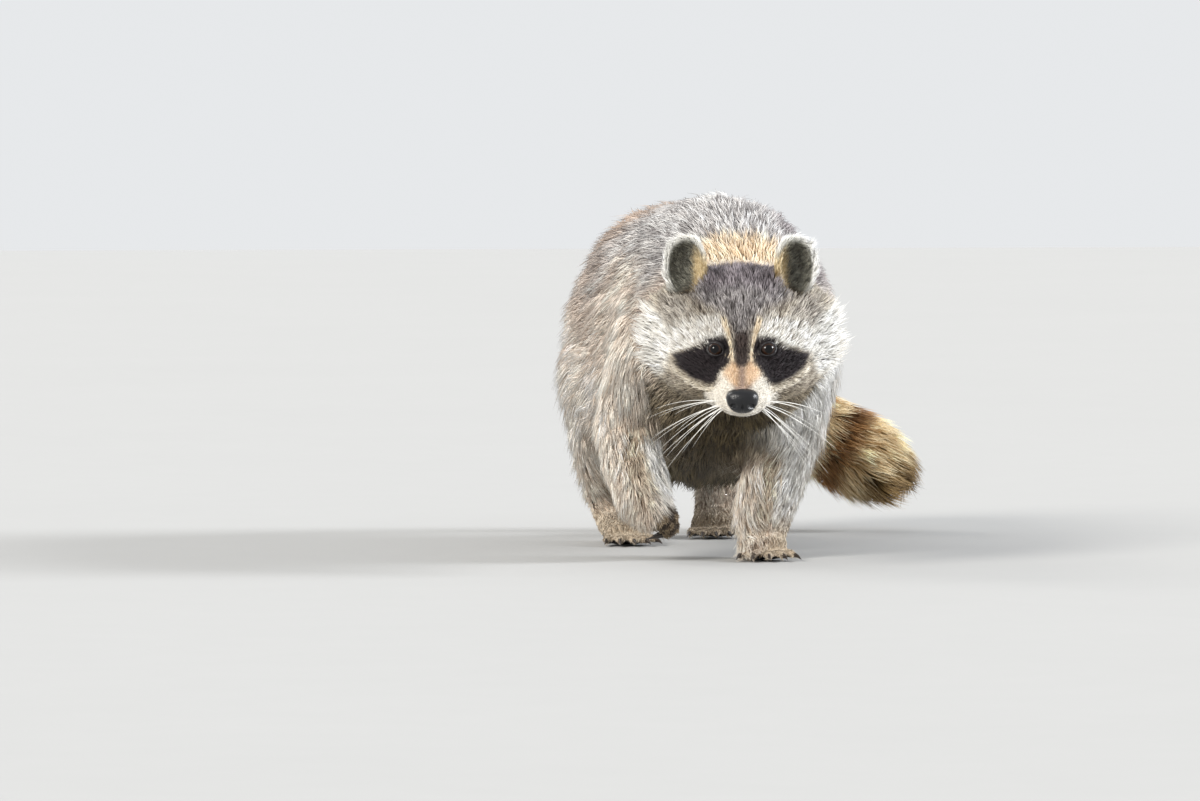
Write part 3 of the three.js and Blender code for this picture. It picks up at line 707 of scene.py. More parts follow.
TONES = {  # darker tone, lighter tone and share of dark tips
    "flank": ((222, 196, 174), (255, 248, 240), 0.08),
    "upper_flank": ((128, 108, 96), (242, 224, 208), 0.30),
    "back": ((108, 100, 101), (244, 241, 238), 0.32),
    "back_edge": ((66, 57, 60), (176, 166, 168), 0.50),
    # pale side: partly the coat's paler hair, partly painted light that lifts the shade low on the body and
    # on the lamp side of the limbs
    "pale_and_lit_side": ((240, 220, 198), (255, 251, 244), 0.03),
    # fringe: long pale hair, whitened further as painted rim light
    "fringe_and_rim_light": ((236, 233, 226), (255, 255, 252), 0.02),
    # underside: painted shade under the body, tinted olive as painted green bounce light
    "underside_shade_and_bounce": ((64, 55, 28), (116, 103, 62), 0.48),
    # breast: partly a dark throat patch, partly painted shade under the head
    "breast_patch_and_shade": ((48, 39, 24), (118, 104, 74), 0.55),
    # under the cheeks: partly dark fur, partly painted shade under the head
    "under_cheek_dark_and_shade": ((66, 55, 40), (164, 149, 122), 0.45),
    "rump": ((98, 78, 66), (206, 178, 154), 0.38),
    "arm": ((146, 118, 94), (252, 240, 224), 0.24),
    "shank": ((142, 117, 92), (252, 239, 218), 0.26),
    "toes": ((150, 130, 106), (240, 228, 206), 0.26),
    "folded_paw": ((38, 30, 24), (94, 78, 60), 0.55),
    "knuckle_ridge": ((122, 104, 80), (190, 170, 140), 0.3),
    "tail_gold": ((230, 188, 128), (255, 240, 202), 0.05),
    "tail_dark": ((98, 64, 34), (182, 136, 84), 0.50),
    "tail_tip": ((96, 74, 42), (172, 142, 92), 0.45),
    "cheek": ((106, 92, 78), (222, 212, 194), 0.32),
    "cheek_rim": ((206, 192, 168), (255, 248, 234), 0.04),
    "forehead": ((66, 58, 57), (206, 200, 198), 0.50),
    "skull_edge": ((56, 47, 50), (186, 176, 182), 0.58),
    "temple": ((118, 108, 98), (230, 223, 212), 0.34),
    "brow": ((204, 196, 184), (255, 254, 250), 0.05),
    "ruff": ((238, 234, 226), (255, 254, 250), 0.0),
    "nape": ((224, 192, 150), (255, 241, 220), 0.04),
    "nape_edge": ((232, 214, 190), (255, 246, 232), 0.02),
    "mask": ((28, 22, 24), (50, 41, 44), 0.60),
    "bridge": ((42, 33, 31), (96, 82, 76), 0.66),
    "bridge_tan": ((116, 90, 78), (176, 148, 128), 0.35),
    "nose_line": ((232, 208, 172), (255, 244, 224), 0.0),
    "muzzle": ((228, 220, 206), (244, 239, 230), 0.0),
    "muzzle_tan": ((214, 173, 131), (244, 220, 188), 0.0),
    "ear_inside": ((30, 28, 22), (168, 166, 152), 0.66),
    "ear_edge": ((176, 146, 94), (248, 230, 190), 0.08),
    # ear base: painted shade deep in the ear's hollow
    "ear_hollow_shade": ((30, 24, 17), (92, 74, 48), 0.70),
    "ear_rim": ((236, 233, 225), (255, 255, 252), 0.0),
    "ear_back": ((76, 68, 63), (170, 162, 152), 0.45),
}

# %% Outlines on the face: one that crosses the middle starts and ends beyond it, at -40
MASK_OUTLINE = [
    (9.3, 5), (11, 9), (18.5, 12), (28, 10.6), (36, 3.6), (48, -1.6), (57, -5), (54, -14.3), (42, -23.3),
    (29, -28.6), (23.5, -27), (18.6, -18), (11.6, -10.4), (8.6, -2.7),
]
BROW_OUTLINE = [
    (12, 10), (14, 26), (22, 29), (34, 27), (48, 24), (60, 18), (67, 8), (66, -3), (60, -5), (50, 1), (38, 5),
    (29, 11), (19, 12.5),
]
RUFF_OUTLINE = [(60, 8), (66, 24), (76, 36), (92, 34), (104, 0), (98, -34), (82, -44), (70, -30), (62, -12)]
FOREHEAD_OUTLINE = [
    (-40, 10), (5, 12), (10.5, 23), (19, 31), (31, 36), (43, 43), (47, 52), (41, 60), (33, 68), (29, 78),
    (-40, 80),
]
SKULL_EDGE_OUTLINE = [(-40, 54), (14, 51), (27, 47), (34, 58), (31, 80), (-40, 80)]
TEMPLE_OUTLINE = [(40, 30), (60, 16), (72, 26), (68, 44), (52, 48)]
BRIDGE_OUTLINE = [(-40, 17), (5.5, 15), (6.4, 5), (6.0, -4), (5.2, -9), (4.2, -13), (-40, -14)]
BRIDGE_TAN_OUTLINE = [(-40, -10), (6.5, -9), (8.5, -16), (8, -27), (6.5, -35), (-40, -36)]
NOSE_LINE = [(15.0, 25, 2.6), (11.6, 14.5, 1.9), (9.2, 4, 1.4), (8.0, -8, 1.1)]  # side, up and half width
BROW_LINE = [(17, 14, 2.4), (27, 13.4, 3.0), (38, 7.6, 3.0), (50, 2.6, 2.6), (58, -1, 1.8)]
UNDER_MASK = [(59, -14, 1.4), (52, -21, 1.9), (43, -28.5, 2.1), (30, -33.5, 2.1), (24, -31.5, 1.4)]
MUZZLE_OUTLINE = [(-40, -14), (9, -12), (17, -19), (22, -29), (30, -36), (28, -48), (17, -57), (-40, -59)]
MUZZLE_TAN_OUTLINE = [(2.5, -11), (9, -9), (15.5, -15.5), (15.5, -21), (11, -25), (7, -28), (3.5, -27)]
NAPE_OUTLINE = [(-40, 62), (26, 64), (34, 71), (37, 79), (31, 88), (16, 94), (-40, 96)]


# %% Distances to an outline or a line
def near_side(u, v, start, end):
    """For each place, the share of the side from start to end at which the side comes nearest, and the
    distance to it there."""
    du, dv = end[0] - start[0], end[1] - start[1]
    t = np.clip(((u - start[0]) * du + (v - start[1]) * dv) / (du * du + dv * dv), 0, 1)
    return t, np.hypot(u - start[0] - t * du, v - start[1] - t * dv)


def side_distance(u, v, outline):
    """Millimetres from each place to a closed outline, negative inside it: the least distance to its
    sides, and a ray to the side crosses an odd number of them from inside."""
    nearest = np.full(len(u), np.inf)
    inside = np.zeros(len(u), bool)
    for (ua, va), (ub, vb) in zip(outline, outline[1:] + outline[:1]):
        nearest = np.minimum(nearest, near_side(u, v, (ua, va), (ub, vb))[1])
        if va != vb:
            crosses = (va > v) != (vb > v)
            inside ^= crosses & (u < ua + (v - va) * (ub - ua) / (vb - va))
    return np.where(inside, -nearest, nearest)


def patch(u, v, outline, edge):
    """1 inside the outline and its mirror image, falling to 0 over edge millimetres round its sides."""
    return 1 - ramp(side_distance(np.abs(u), v, outline), -edge / 2, edge / 2)


def streak(u, v, line):
    """1 on a line of (side, up, half width) and its mirror image, and 0 away from them."""
    shown = np.zeros(len(u))
    for (ua, va, ra), (ub, vb, rb) in zip(line, line[1:]):
        t, away = near_side(np.abs(u), v, (ua, va), (ub, vb))
        shown = np.maximum(shown, 1 - ramp(away / (ra + (rb - ra) * t), 0.6, 1.4))
    return shown


# %% The length of the tail
TAIL_PATH = np.array([centre(name) for name in TAIL])
TAIL_RINGS = [0.12, 0.29, 0.46, 0.63, 0.80]
tail_start = 2 * TAIL_PATH[0] - TAIL_PATH[1]
tail_end = 2 * TAIL_PATH[-1] - TAIL_PATH[-2]
TAIL_LINE = np.vstack([mix(tail_start, TAIL_PATH[0], 0.5), TAIL_PATH, mix(TAIL_PATH[-1], tail_end, 0.75)])


def along_tail(points):
    """The share of the tail's length, from its root to its tip, at which each point lies."""
    steps = np.linalg.norm(np.diff(TAIL_LINE, axis=0), axis=1)
    start = np.concatenate([[0], np.cumsum(steps)])
    nearest, share = np.full(len(points), np.inf), np.zeros(len(points))
    for i, (a, b) in enumerate(zip(TAIL_LINE, TAIL_LINE[1:])):
        t = np.clip((points - a) @ (b - a) / steps[i] ** 2, 0, 1)
        away = np.linalg.norm(points - a - t[:, None] * (b - a), axis=1)
        closer = away < nearest
        nearest[closer] = away[closer]
        share[closer] = ((start[i] + t * steps[i]) / start[-1])[closer]
    return share


print("tail line", round(np.linalg.norm(np.diff(TAIL_LINE, axis=0), axis=1).sum() / MM), "mm long")

# %% [markdown]
# Each part of the body has its own function, which paints one marking over another as a painter would:
# the broad ones first and the sharp ones last. Every border is a soft ramp, moved a little by clouds, so
# that no two hairs change tone on one line.
# Some of them are in part painted light and shade, not the coat's own colour: the lit low sides, the shaded
# underside, throat, breast and ear hollows, and the rim-lit fringe.

# %% What the markings go by
def place_of(points, normals, shares):
    """At each point: its place on the face, as it is and blurred by clouds, its height as a share of the
    animal's, how far it faces up, ahead and to the left, and its shares in the parts of the body."""
    u, v, w = face_place(points)
    wobble = 2.2 * cloud(points, 7 * MM, 11)
    part = {name: shares[:, column] for name, column in PART.items()}
    head = part["head"] + part["muzzle"] + part["ear"]
    return SimpleNamespace(
        points=points, shares=shares, part=part, body=part["trunk"] + part["neck"], head=head,
        face=ramp(head, 0.15, 0.6), u=u, v=v, w=w, wobble=wobble, u_soft=u + wobble,
        v_soft=v + 2.2 * cloud(points, 7 * MM, 12), broad=cloud(points, 45 * MM, 13),
        height=points[:, 2] / CAD_BOX[1].z, up=normals[:, 2], ahead=normals @ AHEAD, left=normals @ ACROSS,
    )


# %% Trunk and upper limbs
def paint_body(at, paint):
    """The grizzled back, pale flanks (lighter low down, partly as painted light) and brown rump, then the
    underside darkened and tinted olive as painted shade and bounce light, and the throat and breast darkened
    by their own dark fur and by painted shade.
    """
    body, upper, broad, height, rises = at.body, at.part["upper"], at.broad, at.height, at.up
    paint("upper_flank", body * ramp(height + 0.1 * broad, 0.5, 0.78) * 0.9)
    paint("back", body * ramp(rises + 0.25 * broad + 1.1 * (height - 0.8), 0.15, 0.75))
    left_edge = body * ramp(at.left, 0.3, 0.7) * ramp(height + 0.1 * broad, 0.66, 0.8)
    paint("back_edge", left_edge * (1 - ramp(height, 0.95, 1.0)) * 0.8)
    # Paler low on the body: partly the coat's own paler side, partly painted light that lifts the shade
    # there.
    low_side = (body + upper) * ramp(0.6 - height + 0.1 * broad, 0, 0.2)
    paint("pale_and_lit_side", low_side * ramp(rises, -0.6, -0.1) * 0.8)
    to_rear = ramp(at.points[:, 1] + 0.03 * broad, 0.02, 0.17)
    paint("rump", body * to_rear * ramp(height, 0.68, 0.88) * 0.85)
    # The down-facing trunk is darkened as painted shade and tinted olive as painted green bounce light.
    paint("underside_shade_and_bounce", body * ramp(-rises, 0.3, 0.8))
    paint("arm", upper * 0.7)
    # Under the cheeks and on the throat: partly dark fur, partly painted shade under the head.
    throat = (body + upper) * ramp(at.ahead - 0.3 * rises, 0.1, 0.6) * ramp(-at.v, 22, 40)
    paint("under_cheek_dark_and_shade", throat * (1 - ramp(-at.v, 84, 104)) * (1 - ramp(np.abs(at.u), 78, 96)) * 0.85)
    # The breast: partly a dark throat patch, partly painted shade under the head.
    breast_patch_and_shade = (body + 0.5 * upper) * ramp(at.ahead - 0.5 * rises, 0.3, 0.8) * ramp(-at.v, 46, 60)
    paint("breast_patch_and_shade", breast_patch_and_shade * (1 - ramp(np.abs(at.u + 8), 32, 52)))


# %% Lower limbs and feet
def paint_limbs(at, paint):
    """Buff shanks, pale on the right (own paler hair and painted light from the main lamp), with a white
    fringe on the left (pale hair and painted rim light), and the dark folded knuckles with lighter ridges
    between them."""
    paint("shank", at.part["lower"])
    limb = at.part["upper"] + at.part["lower"]
    # Paler on the limbs' right sides: partly their own paler hair, partly painted light on the side the main
    # lamp meets.
    paint("pale_and_lit_side", limb * ramp(-at.left + 0.1 * at.broad, 0.1, 0.6) * 0.85)
    # A white fringe on the fronts of the limbs' left sides: their long pale hair, partly whitened as painted
    # rim light.
    outer = ramp(at.left, 0.05, 0.5) * ramp(-at.points[:, 1] + 0.03 * at.broad, 0.03, 0.15)
    paint("fringe_and_rim_light", 0.95 * outer * (1 - ramp(at.height, 0.6, 0.8)) * (1 - 0.7 * at.part["foot"]))
    paint("toes", ramp(at.part["foot"], 0.4, 1.0) * 0.9)
    uneven = folded_reach(at.points) + 2.5 * cloud(at.points, 6 * MM, 29)
    folded = 1 - ramp(uneven, KNUCKLES["reach"] - 2, KNUCKLES["reach"] + KNUCKLES["soft"])
    folded = folded * ramp(at.part["foot"], 0.3, 0.7)
    paint("folded_paw", folded)
    paint("knuckle_ridge", folded * ramp(cloud(at.points, 6 * MM, 37), -0.1, 0.25) * 0.8)


# %% Tail
RING_HALF = (0.022, 0.058)  # of the tail's length: half of a dark ring, without and with its soft borders


def paint_tail(at, paint):
    """Dark rings on gold, and a dark tip, which reaches further up the tail on its under side."""
    tail = ramp(at.part["tail"], 0.25, 0.75)
    paint("tail_gold", tail)
    ring = along_tail(at.points) + 0.012 * at.broad
    for place in TAIL_RINGS:
        paint("tail_dark", tail * (1 - ramp(np.abs(ring - place), *RING_HALF)))
    over_tip = at.points[:, 2] - TAIL_PATH[-1][2]
    paint("tail_tip", tail * ramp(ring - 2.4 * over_tip, 0.95, 1.02))


# %% Head
def paint_head(at, paint):
    """Cheeks, temples, brows, crown, ruffs and the golden nape."""
    u, v, w, face, body = at.u, at.v, at.w, at.face, at.body
    front = face * ramp(w, -95, -60)
    nape = (face + body) * (1 - ramp(at.head, 0.75, 1.0) * ramp(w, -70, -50)) * ramp(-w, 62, 78)
    nape = nape * ramp(w, -175, -140)
    paint("cheek", face)
    # Under the cheeks: partly dark fur, partly painted shade under the head.
    paint("under_cheek_dark_and_shade", face * ramp(-v, 24, 40) * (1 - ramp(np.abs(u), 70, 84)) * 0.8)
    # The breast: partly a dark throat patch, partly painted shade under the head.
    paint("breast_patch_and_shade", face * ramp(-v, 50, 60) * (1 - ramp(np.abs(u + 8), 34, 52)))
    for name, outline, edge in (("temple", TEMPLE_OUTLINE, 12), ("brow", BROW_OUTLINE, 9),
                                ("forehead", FOREHEAD_OUTLINE, 12), ("skull_edge", SKULL_EDGE_OUTLINE, 14)):
        paint(name, front * patch(at.u_soft, at.v_soft, outline, edge))
    ruff = np.maximum(front, 0.8 * body * ramp(w, -120, -90))
    paint("ruff", ruff * patch(at.u_soft, at.v_soft, RUFF_OUTLINE, 10))
    nape = np.clip(nape, 0, 1) * patch(at.u_soft, at.v_soft, NAPE_OUTLINE, 9) * ramp(at.up, -0.2, 0.3)
    paint("nape", nape)
    paint("nape_edge", nape * (1 - ramp(v, 68, 80)) * 0.8)


# %% Face
def paint_face(at, paint):
    """The white muzzle with tan beside its dark bridge, the pale lines, and the black mask."""
    u, v, wobble = at.u, at.v, at.wobble
    close = at.face * ramp(at.w, -45, -25)
    paint("muzzle", close * patch(at.u_soft, at.v_soft, MUZZLE_OUTLINE, 5))
    paint("bridge_tan", close * patch(u, v, BRIDGE_TAN_OUTLINE, 7) * 0.9)
    paint("muzzle_tan", close * patch(u, v, MUZZLE_TAN_OUTLINE, 7) * 0.85)
    paint("cheek_rim", close * streak(u, v, UNDER_MASK) * 0.8)
    paint("ruff", close * streak(u, v + 0.3 * wobble, BROW_LINE) * 0.9)
    paint("mask", close * patch(u + 0.4 * wobble, v, MASK_OUTLINE, 3.2))
    paint("bridge", close * patch(u + 0.3 * wobble, v, BRIDGE_OUTLINE, 4))
    paint("nose_line", close * streak(u + 0.2 * wobble, v, NOSE_LINE))


# %% Ears
def paint_ears(at, paint):
    """A grey back, a dark inside with a golden inner edge, darkened further at its base as painted shade in
    the hollow, and a white rim.
    """
    ear = ramp(at.part["ear"], 0.35, 0.75)
    across, upward, _ = ear_place(at.points)
    inside = ramp(at.ahead, -0.15, 0.25)
    paint("ear_back", ear)
    paint("ear_inside", ear * inside)
    # The base of the ear's hollow is darkened as painted shade.
    paint("ear_hollow_shade", ear * inside * (1 - ramp(upward + 0.4 * across, -0.75, -0.35)))
    paint("ear_edge", ear * inside * (1 - ramp(across, -0.55, -0.1)) * (1 - ramp(upward, 0.2, 0.9)) * 0.9)
    paint("ear_rim", ear_rim(at.points, at.shares))


# %% All markings
def markings_and_painted_light(points, normals, shares):
    """The darker tone, the lighter tone and the share of dark tips at each point, from the coat's markings
    and from the painted light and shade among them.
    """
    darker, lighter, dark_tips = TONES["flank"]
    state = [np.tile(tone(*darker), (len(points), 1)), np.tile(tone(*lighter), (len(points), 1)),
             np.full(len(points), dark_tips)]

    def paint(name, where):
        """Covers what is there with a marking, as far as where says."""
        darker, lighter, dark_tips = TONES[name]
        state[0] = mix(state[0], tone(*darker), where[:, None])
        state[1] = mix(state[1], tone(*lighter), where[:, None])
        state[2] = mix(state[2], dark_tips, where)

    at = place_of(points, normals, shares)
    for paint_part in (paint_body, paint_limbs, paint_tail, paint_head, paint_face, paint_ears):
        paint_part(at, paint)
    return state


# %% [markdown]
# ## Bare skin
# No hair grows on the eyelids' rims, under the nose pad, on the lips or on the pads under the paws. The
# palm side of each paw is square to its length and to the row of its claws.

# %% Which way the palms face
def palm_of(leg):
    """The direction square to a paw's length and to the row of its claws, to one side or the other."""
    claws = claws_of(leg)
    row = centre(claws[-1]) - centre(claws[0])
    return unit(np.cross(row, claws_middle(leg) - centre(LEG_NODES[leg][2])))


PALMS = {leg: palm_of(leg) for leg in LEGS}
for side in ("left", "right"):
    down = -np.sign(PALMS[f"hind_{side}"][2])  # the claws of both paws on a side are counted the same way
    for end in ("fore", "hind"):
        PALMS[f"{end}_{side}"] = PALMS[f"{end}_{side}"] * down
print("palms", {leg: [round(float(x), 2) for x in palm] for leg, palm in PALMS.items()})

# %% Where no hair grows
PLANTED_PAD = (9 * MM, 15 * MM)  # over the floor
LIFTED_PAD = (20, 26)  # millimetres from the middle of the knuckles
NOSE_REACH = np.array([14.3, 10.5, 10.6]) * MM  # half of the bare place's width, depth and height
leg_of_node = [next((leg for leg in LEGS if name.startswith(leg)), None) for name in FLESH]
palm_of_node = np.array([PALMS[leg] if leg else np.zeros(3) for leg in leg_of_node])
lifted = np.array([leg == "fore_right" for leg in leg_of_node])[skin_node]
planted_pads = 1 - ramp(skin_points[:, 2], *PLANTED_PAD)
pad_mask = ramp(dot(skin_normals, palm_of_node[skin_node])[:, 0], 0.25, 0.6)
pad_mask = pad_mask * ramp(skin_shares[:, PART["foot"]], 0.5, 0.8)
pad_mask = pad_mask * np.where(lifted, 1 - ramp(folded_reach(skin_points), *LIFTED_PAD), planted_pads)
from_nose = [(skin_points - NOSE) @ axis / reach for axis, reach in zip((ACROSS, AHEAD, UP), NOSE_REACH)]
nose_mask = 1 - ramp(np.linalg.norm(np.stack(from_nose), axis=0), 0.86, 1.0)
bare = np.max([lid_mask, lip_mask > 0.35, pad_mask, nose_mask], axis=0)
print("bare", int((bare > 0.5).sum()), "points")

# %% The skin as a piece
LEATHER = {"pad": (44, 35, 30), "lid": (22, 17, 18), "lip": (38, 30, 30)}
UNDERCOAT = 0.32  # from the darker tone to the lighter


def look_from(points, normals, lie, coat):
    """Where the middle of the hair that grows from each point shows."""
    lean = 0.45 * coat[:, :1]
    return points + normals * 0.7 * coat[:, 1:2] + lie * lean


skin_coat = coat_of(skin_points, skin_shares)
seen = look_from(skin_points, skin_normals, lie, skin_coat)
darker, lighter, dark_tips = markings_and_painted_light(seen, skin_normals, skin_shares)
undercoat = mix(darker, lighter, UNDERCOAT)
for name, mask in (("lip", lip_mask), ("lid", lid_mask), ("pad", np.maximum(pad_mask, nose_mask))):
    undercoat = mix(undercoat, tone(*LEATHER[name]), mask[:, None])
skin = mesh_from("skin", skin_points, skin_faces)
set_colours(skin, "coat", undercoat)
set_colours(skin, "bare", np.repeat(np.clip(bare, 0, 1)[:, None], 3, axis=1))
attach(skin, "root")
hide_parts(*[name for name in FLESH if not name.startswith("eye") and name != "nose"])
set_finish(skin, "skin")
print("skin painted in", len(TONES), "tones")

# %% [markdown]
# The unwrap of the skin gives every tuft its place on the coat's map. Smart UV Project cuts the skin into
# islands by the direction of its faces. Seams placed by hand would be fewer, but here the hair hides them.

# %% Unwrap the skin
def unwrap(piece):
    """Unwraps a piece by Smart UV Project, and returns its places as a row for each corner."""
    bpy.context.view_layer.objects.active = piece
    piece.select_set(True)
    bpy.ops.object.mode_set(mode="EDIT")
    bpy.ops.mesh.select_all(action="SELECT")
    bpy.ops.uv.smart_project(angle_limit=math.radians(66), island_margin=0.002)
    bpy.ops.object.mode_set(mode="OBJECT")
    piece.select_set(False)
    places = np.empty(len(piece.data.loops) * 2)
    piece.data.uv_layers.active.data.foreach_get("uv", places)
    return places.reshape(-1, 3, 2)


skin_map = unwrap(skin)
print("skin unwrapped, map from", skin_map.min().round(3), "to", skin_map.max().round(3))

# %% [markdown]
# ## Sow the roots
# Roots are spread evenly: each face takes as many as its area asks for, at random places on it. The faces
# are taken in order with even steps, so that no face has a heap of roots and its neighbour none.

# %% Roots of the tufts
CHANCE = np.random.default_rng(23)


def sow():
    """The face of each root and the shares of the face's three corners in it. A face wants one tuft for
    each square of the gap between roots."""
    a, b, c = (skin_points[skin_faces[:, k]] for k in range(3))
    area = np.linalg.norm(np.cross(b - a, c - a), axis=1) / 2
    gap = skin_coat[skin_faces, 2].mean(axis=1)
    furred = 1 - ramp(bare[skin_faces].mean(axis=1), 0.35, 0.65)
    wanted = np.cumsum(area / gap**2 * furred)
    count = int(wanted[-1])
    face = np.searchsorted(wanted, (np.arange(count) + CHANCE.random(count)) * wanted[-1] / count)
    face = np.minimum(face, len(skin_faces) - 1)
    r, s = np.sqrt(CHANCE.random(count)), CHANCE.random(count)
    return face, np.stack([1 - r, r * (1 - s), r * s], axis=1)


root_face, root_weight = sow()


def at_roots(values):
    """Values held at the skin's points, blended to the roots."""
    return np.einsum("nk,nkc->nc", root_weight, values[skin_faces[root_face]])


roots = at_roots(skin_points)
root_normal = unit(at_roots(skin_normals))
root_lie = at_roots(lie)
root_lie = unit(root_lie - root_normal * dot(root_lie, root_normal))
root_shares = at_roots(skin_shares)
root_coat = coat_of(roots, root_shares)
root_map = np.einsum("nk,nkc->nc", root_weight, skin_map[root_face])
print(len(roots), "roots")

# %% [markdown]
# ## Locks of hair
# Neighbouring hairs lean together into locks. The tips of a lock are drawn towards its centre, and the
# whole lock turns a little to one side, lies flatter or steeper, and is lighter or darker than the next.
# Hairs could be curves, but solid spikes keep their shape in any program that reads meshes.

# %% The lock that each tuft belongs to
LOCK_CLASSES = [(0.0, 2.8), (9.0, 5.0), (26.0, 10.0)]  # from this hair length, locks of this size, in mm
length, depth, gap, width = root_coat.T
lock_middle, lock_own = locks(roots, LOCK_CLASSES[0][1] * MM, 31)
for least, cell in LOCK_CLASSES[1:]:
    longer = length > least * MM
    lock_middle[longer], lock_own[longer] = locks(roots[longer], cell * MM, 31)
long_hair = ramp(length, 8 * MM, 22 * MM)
towards = lock_middle - roots
towards = towards - root_normal * dot(towards, root_normal)
pull_in = (0.35 + 0.25 * long_hair)[:, None] * towards
print(len(np.unique(lock_middle, axis=0)), "locks")

# %% Lean, turn and size of each tuft
LEAN = (0.12, 0.75)  # least and most sine of the angle between a tuft and the skin
GUARD = {"share": 0.07, "longer": 1.15, "thinner": 0.7}  # the few long outer hairs
own = CHANCE.random((len(roots), 5))
lean = np.arcsin(np.clip(1.05 * depth / length, *LEAN))
lean = lean * (1 + 0.4 * (lock_own[:, 0] - 0.5) + 0.4 * (own[:, 0] - 0.5))
lean = lean + 0.28 * ear_rim(roots, root_shares)
turn = 0.55 * (lock_own[:, 1] - 0.5) + 0.36 * (own[:, 1] - 0.5)
root_side = np.cross(root_normal, root_lie)
root_lie = root_lie * np.cos(turn)[:, None] + root_side * np.sin(turn)[:, None]
root_side = np.cross(root_normal, root_lie)
guard = own[:, 2] > 1 - GUARD["share"]
tuft_length = length * (0.72 + 0.46 * own[:, 3]) * np.where(guard, GUARD["longer"], 1.0)
tuft_width = width * (0.75 + 0.5 * own[:, 4]) * np.where(guard, GUARD["thinner"], 1.0)
print("tufts", round(tuft_length.min() / MM, 1), "to", round(tuft_length.max() / MM, 1), "mm long")

# %% Tone of each tuft
on_limb = root_shares[:, [PART["upper"], PART["lower"], PART["foot"]]].sum(axis=1)
patchy = long_hair * (1 - 0.5 * on_limb)
streaks = 1 + (0.12 + 0.26 * patchy) * (lock_own[:, 2] - 0.5) + 0.13 * patchy * cloud(roots, 26 * MM, 17)
seen = look_from(roots, root_normal, root_lie, root_coat)
darker, lighter, dark_tips = markings_and_painted_light(seen, root_normal, root_shares)
darker, lighter = darker * streaks[:, None], np.minimum(lighter * streaks[:, None], 1)
print("tones vary by", round(float(streaks.min()), 2), "to", round(float(streaks.max()), 2))

# %% Tufts as solid spikes
RING = np.radians([90.0, 210.0, 330.0])
FLATTEN = 0.6
SINK = 0.25  # of its width, so that no root floats over the skin
TAPER = (1.0, 0.8)
SAG = 0.05  # of its length, where the hair is long
NEAR_FLOOR = {"under": 1 * MM, "least": 0.3 * MM, "share": 0.35}
SIDES = [(j, (j + 1) % 3) for j in range(3)]
TUFT_FACES = np.array(
    [(0, 2, 1)] + [f for j, k in SIDES for f in ((j, k, 3 + k), (j, 3 + k, 3 + j), (3 + j, 3 + k, 6))]
)
MAP_PATCH = 0.003  # the side of a tuft's square, as a share of the map's


def patch_layout():
    """The places of the corners of a tuft's faces on a square of side 1: three strips side by side, with
    the base as a small triangle beneath them."""
    corners = [((0.1, 0.0), (0.9, 0.0), (0.5, 0.12))]
    for j in range(3):
        left, right, middle = j / 3, (j + 1) / 3, (j + 0.5) / 3
        corners.append(((left, 0.15), (right, 0.15), (right, 0.6)))
        corners.append(((left, 0.15), (right, 0.6), (left, 0.6)))
        corners.append(((left, 0.6), (right, 0.6), (middle, 1.0)))
    return np.array(corners).reshape(-1, 2) - 0.5


TUFT_MAP = patch_layout() * MAP_PATCH


def over_floor(points):
    """The points with those close to the floor or under it pressed into a thin layer just over it."""
    z = points[:, 2]
    pressed = NEAR_FLOOR["least"] + NEAR_FLOOR["share"] * np.maximum(z, 0)
    points[:, 2] = np.where(z < NEAR_FLOOR["under"], pressed, z)
    return points


def tuft_points(pick):
    """Seven points for each tuft: a ring of three at its root, a thinner ring halfway, and its tip. The
    first half leans out of the skin steeply and the second lies flatter, drawn in towards its lock."""
    half = tuft_length[pick] / 2
    n, t, s = root_normal[pick], root_lie[pick], root_side[pick]
    first, second = (
        t * (half * np.cos(angle))[:, None] + n * (half * np.sin(angle))[:, None]
        for angle in (1.5 * lean[pick], 0.5 * lean[pick])
    )
    start = roots[pick] - n * (SINK * tuft_width[pick])[:, None]
    middle = start + first + 0.3 * pull_in[pick]
    sag = UP * (SAG * long_hair[pick] * tuft_length[pick])[:, None]
    tip = start + first + second + pull_in[pick] - sag
    rise = unit(np.cross(unit(tip - start), s))
    points = []
    for place, share in ((start, TAPER[0]), (middle, TAPER[1])):
        radius = (share * tuft_width[pick] / 2)[:, None]
        points += [place + radius * (math.cos(a) * s + FLATTEN * math.sin(a) * rise) for a in RING]
    points.append(tip)
    return over_floor(np.stack(points, axis=1).reshape(-1, 3))


def tuft_colours(pick):
    """A colour for each of the seven points: dark at the root, then a lighter band, then the tip."""
    lock_tone = (lock_own[pick, 2] - 0.5)[:, None]
    band = np.clip(0.42 + 0.5 * lock_tone + 0.35 * (own[pick, 0:1] - 0.5), 0, 1)
    dark_end = (own[pick, 1] + 0.35 * (lock_own[pick, 2] - 0.5) < dark_tips[pick])[:, None]
    root = 0.85 * darker[pick]
    middle = mix(darker[pick], lighter[pick], band)
    tip = np.where(dark_end, darker[pick], lighter[pick]) * (1 + 0.16 * lock_tone)
    return np.stack([root] * 3 + [middle] * 3 + [tip], axis=1).reshape(-1, 3)


def coat_piece(name, pick, slot):
    """One piece of the coat: the tufts whose numbers are in pick, joined into one mesh."""
    count = len(pick)
    faces = (TUFT_FACES[None] + 7 * np.arange(count)[:, None, None]).reshape(-1, 3)
    piece = mesh_from(name, tuft_points(pick), faces)
    set_colours(piece, "coat", tuft_colours(pick))
    set_map(piece, "OFBake", (root_map[pick][:, None] + TUFT_MAP[None]).reshape(-1, 2))
    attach(piece, "root")
    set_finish(piece, slot)
    return piece


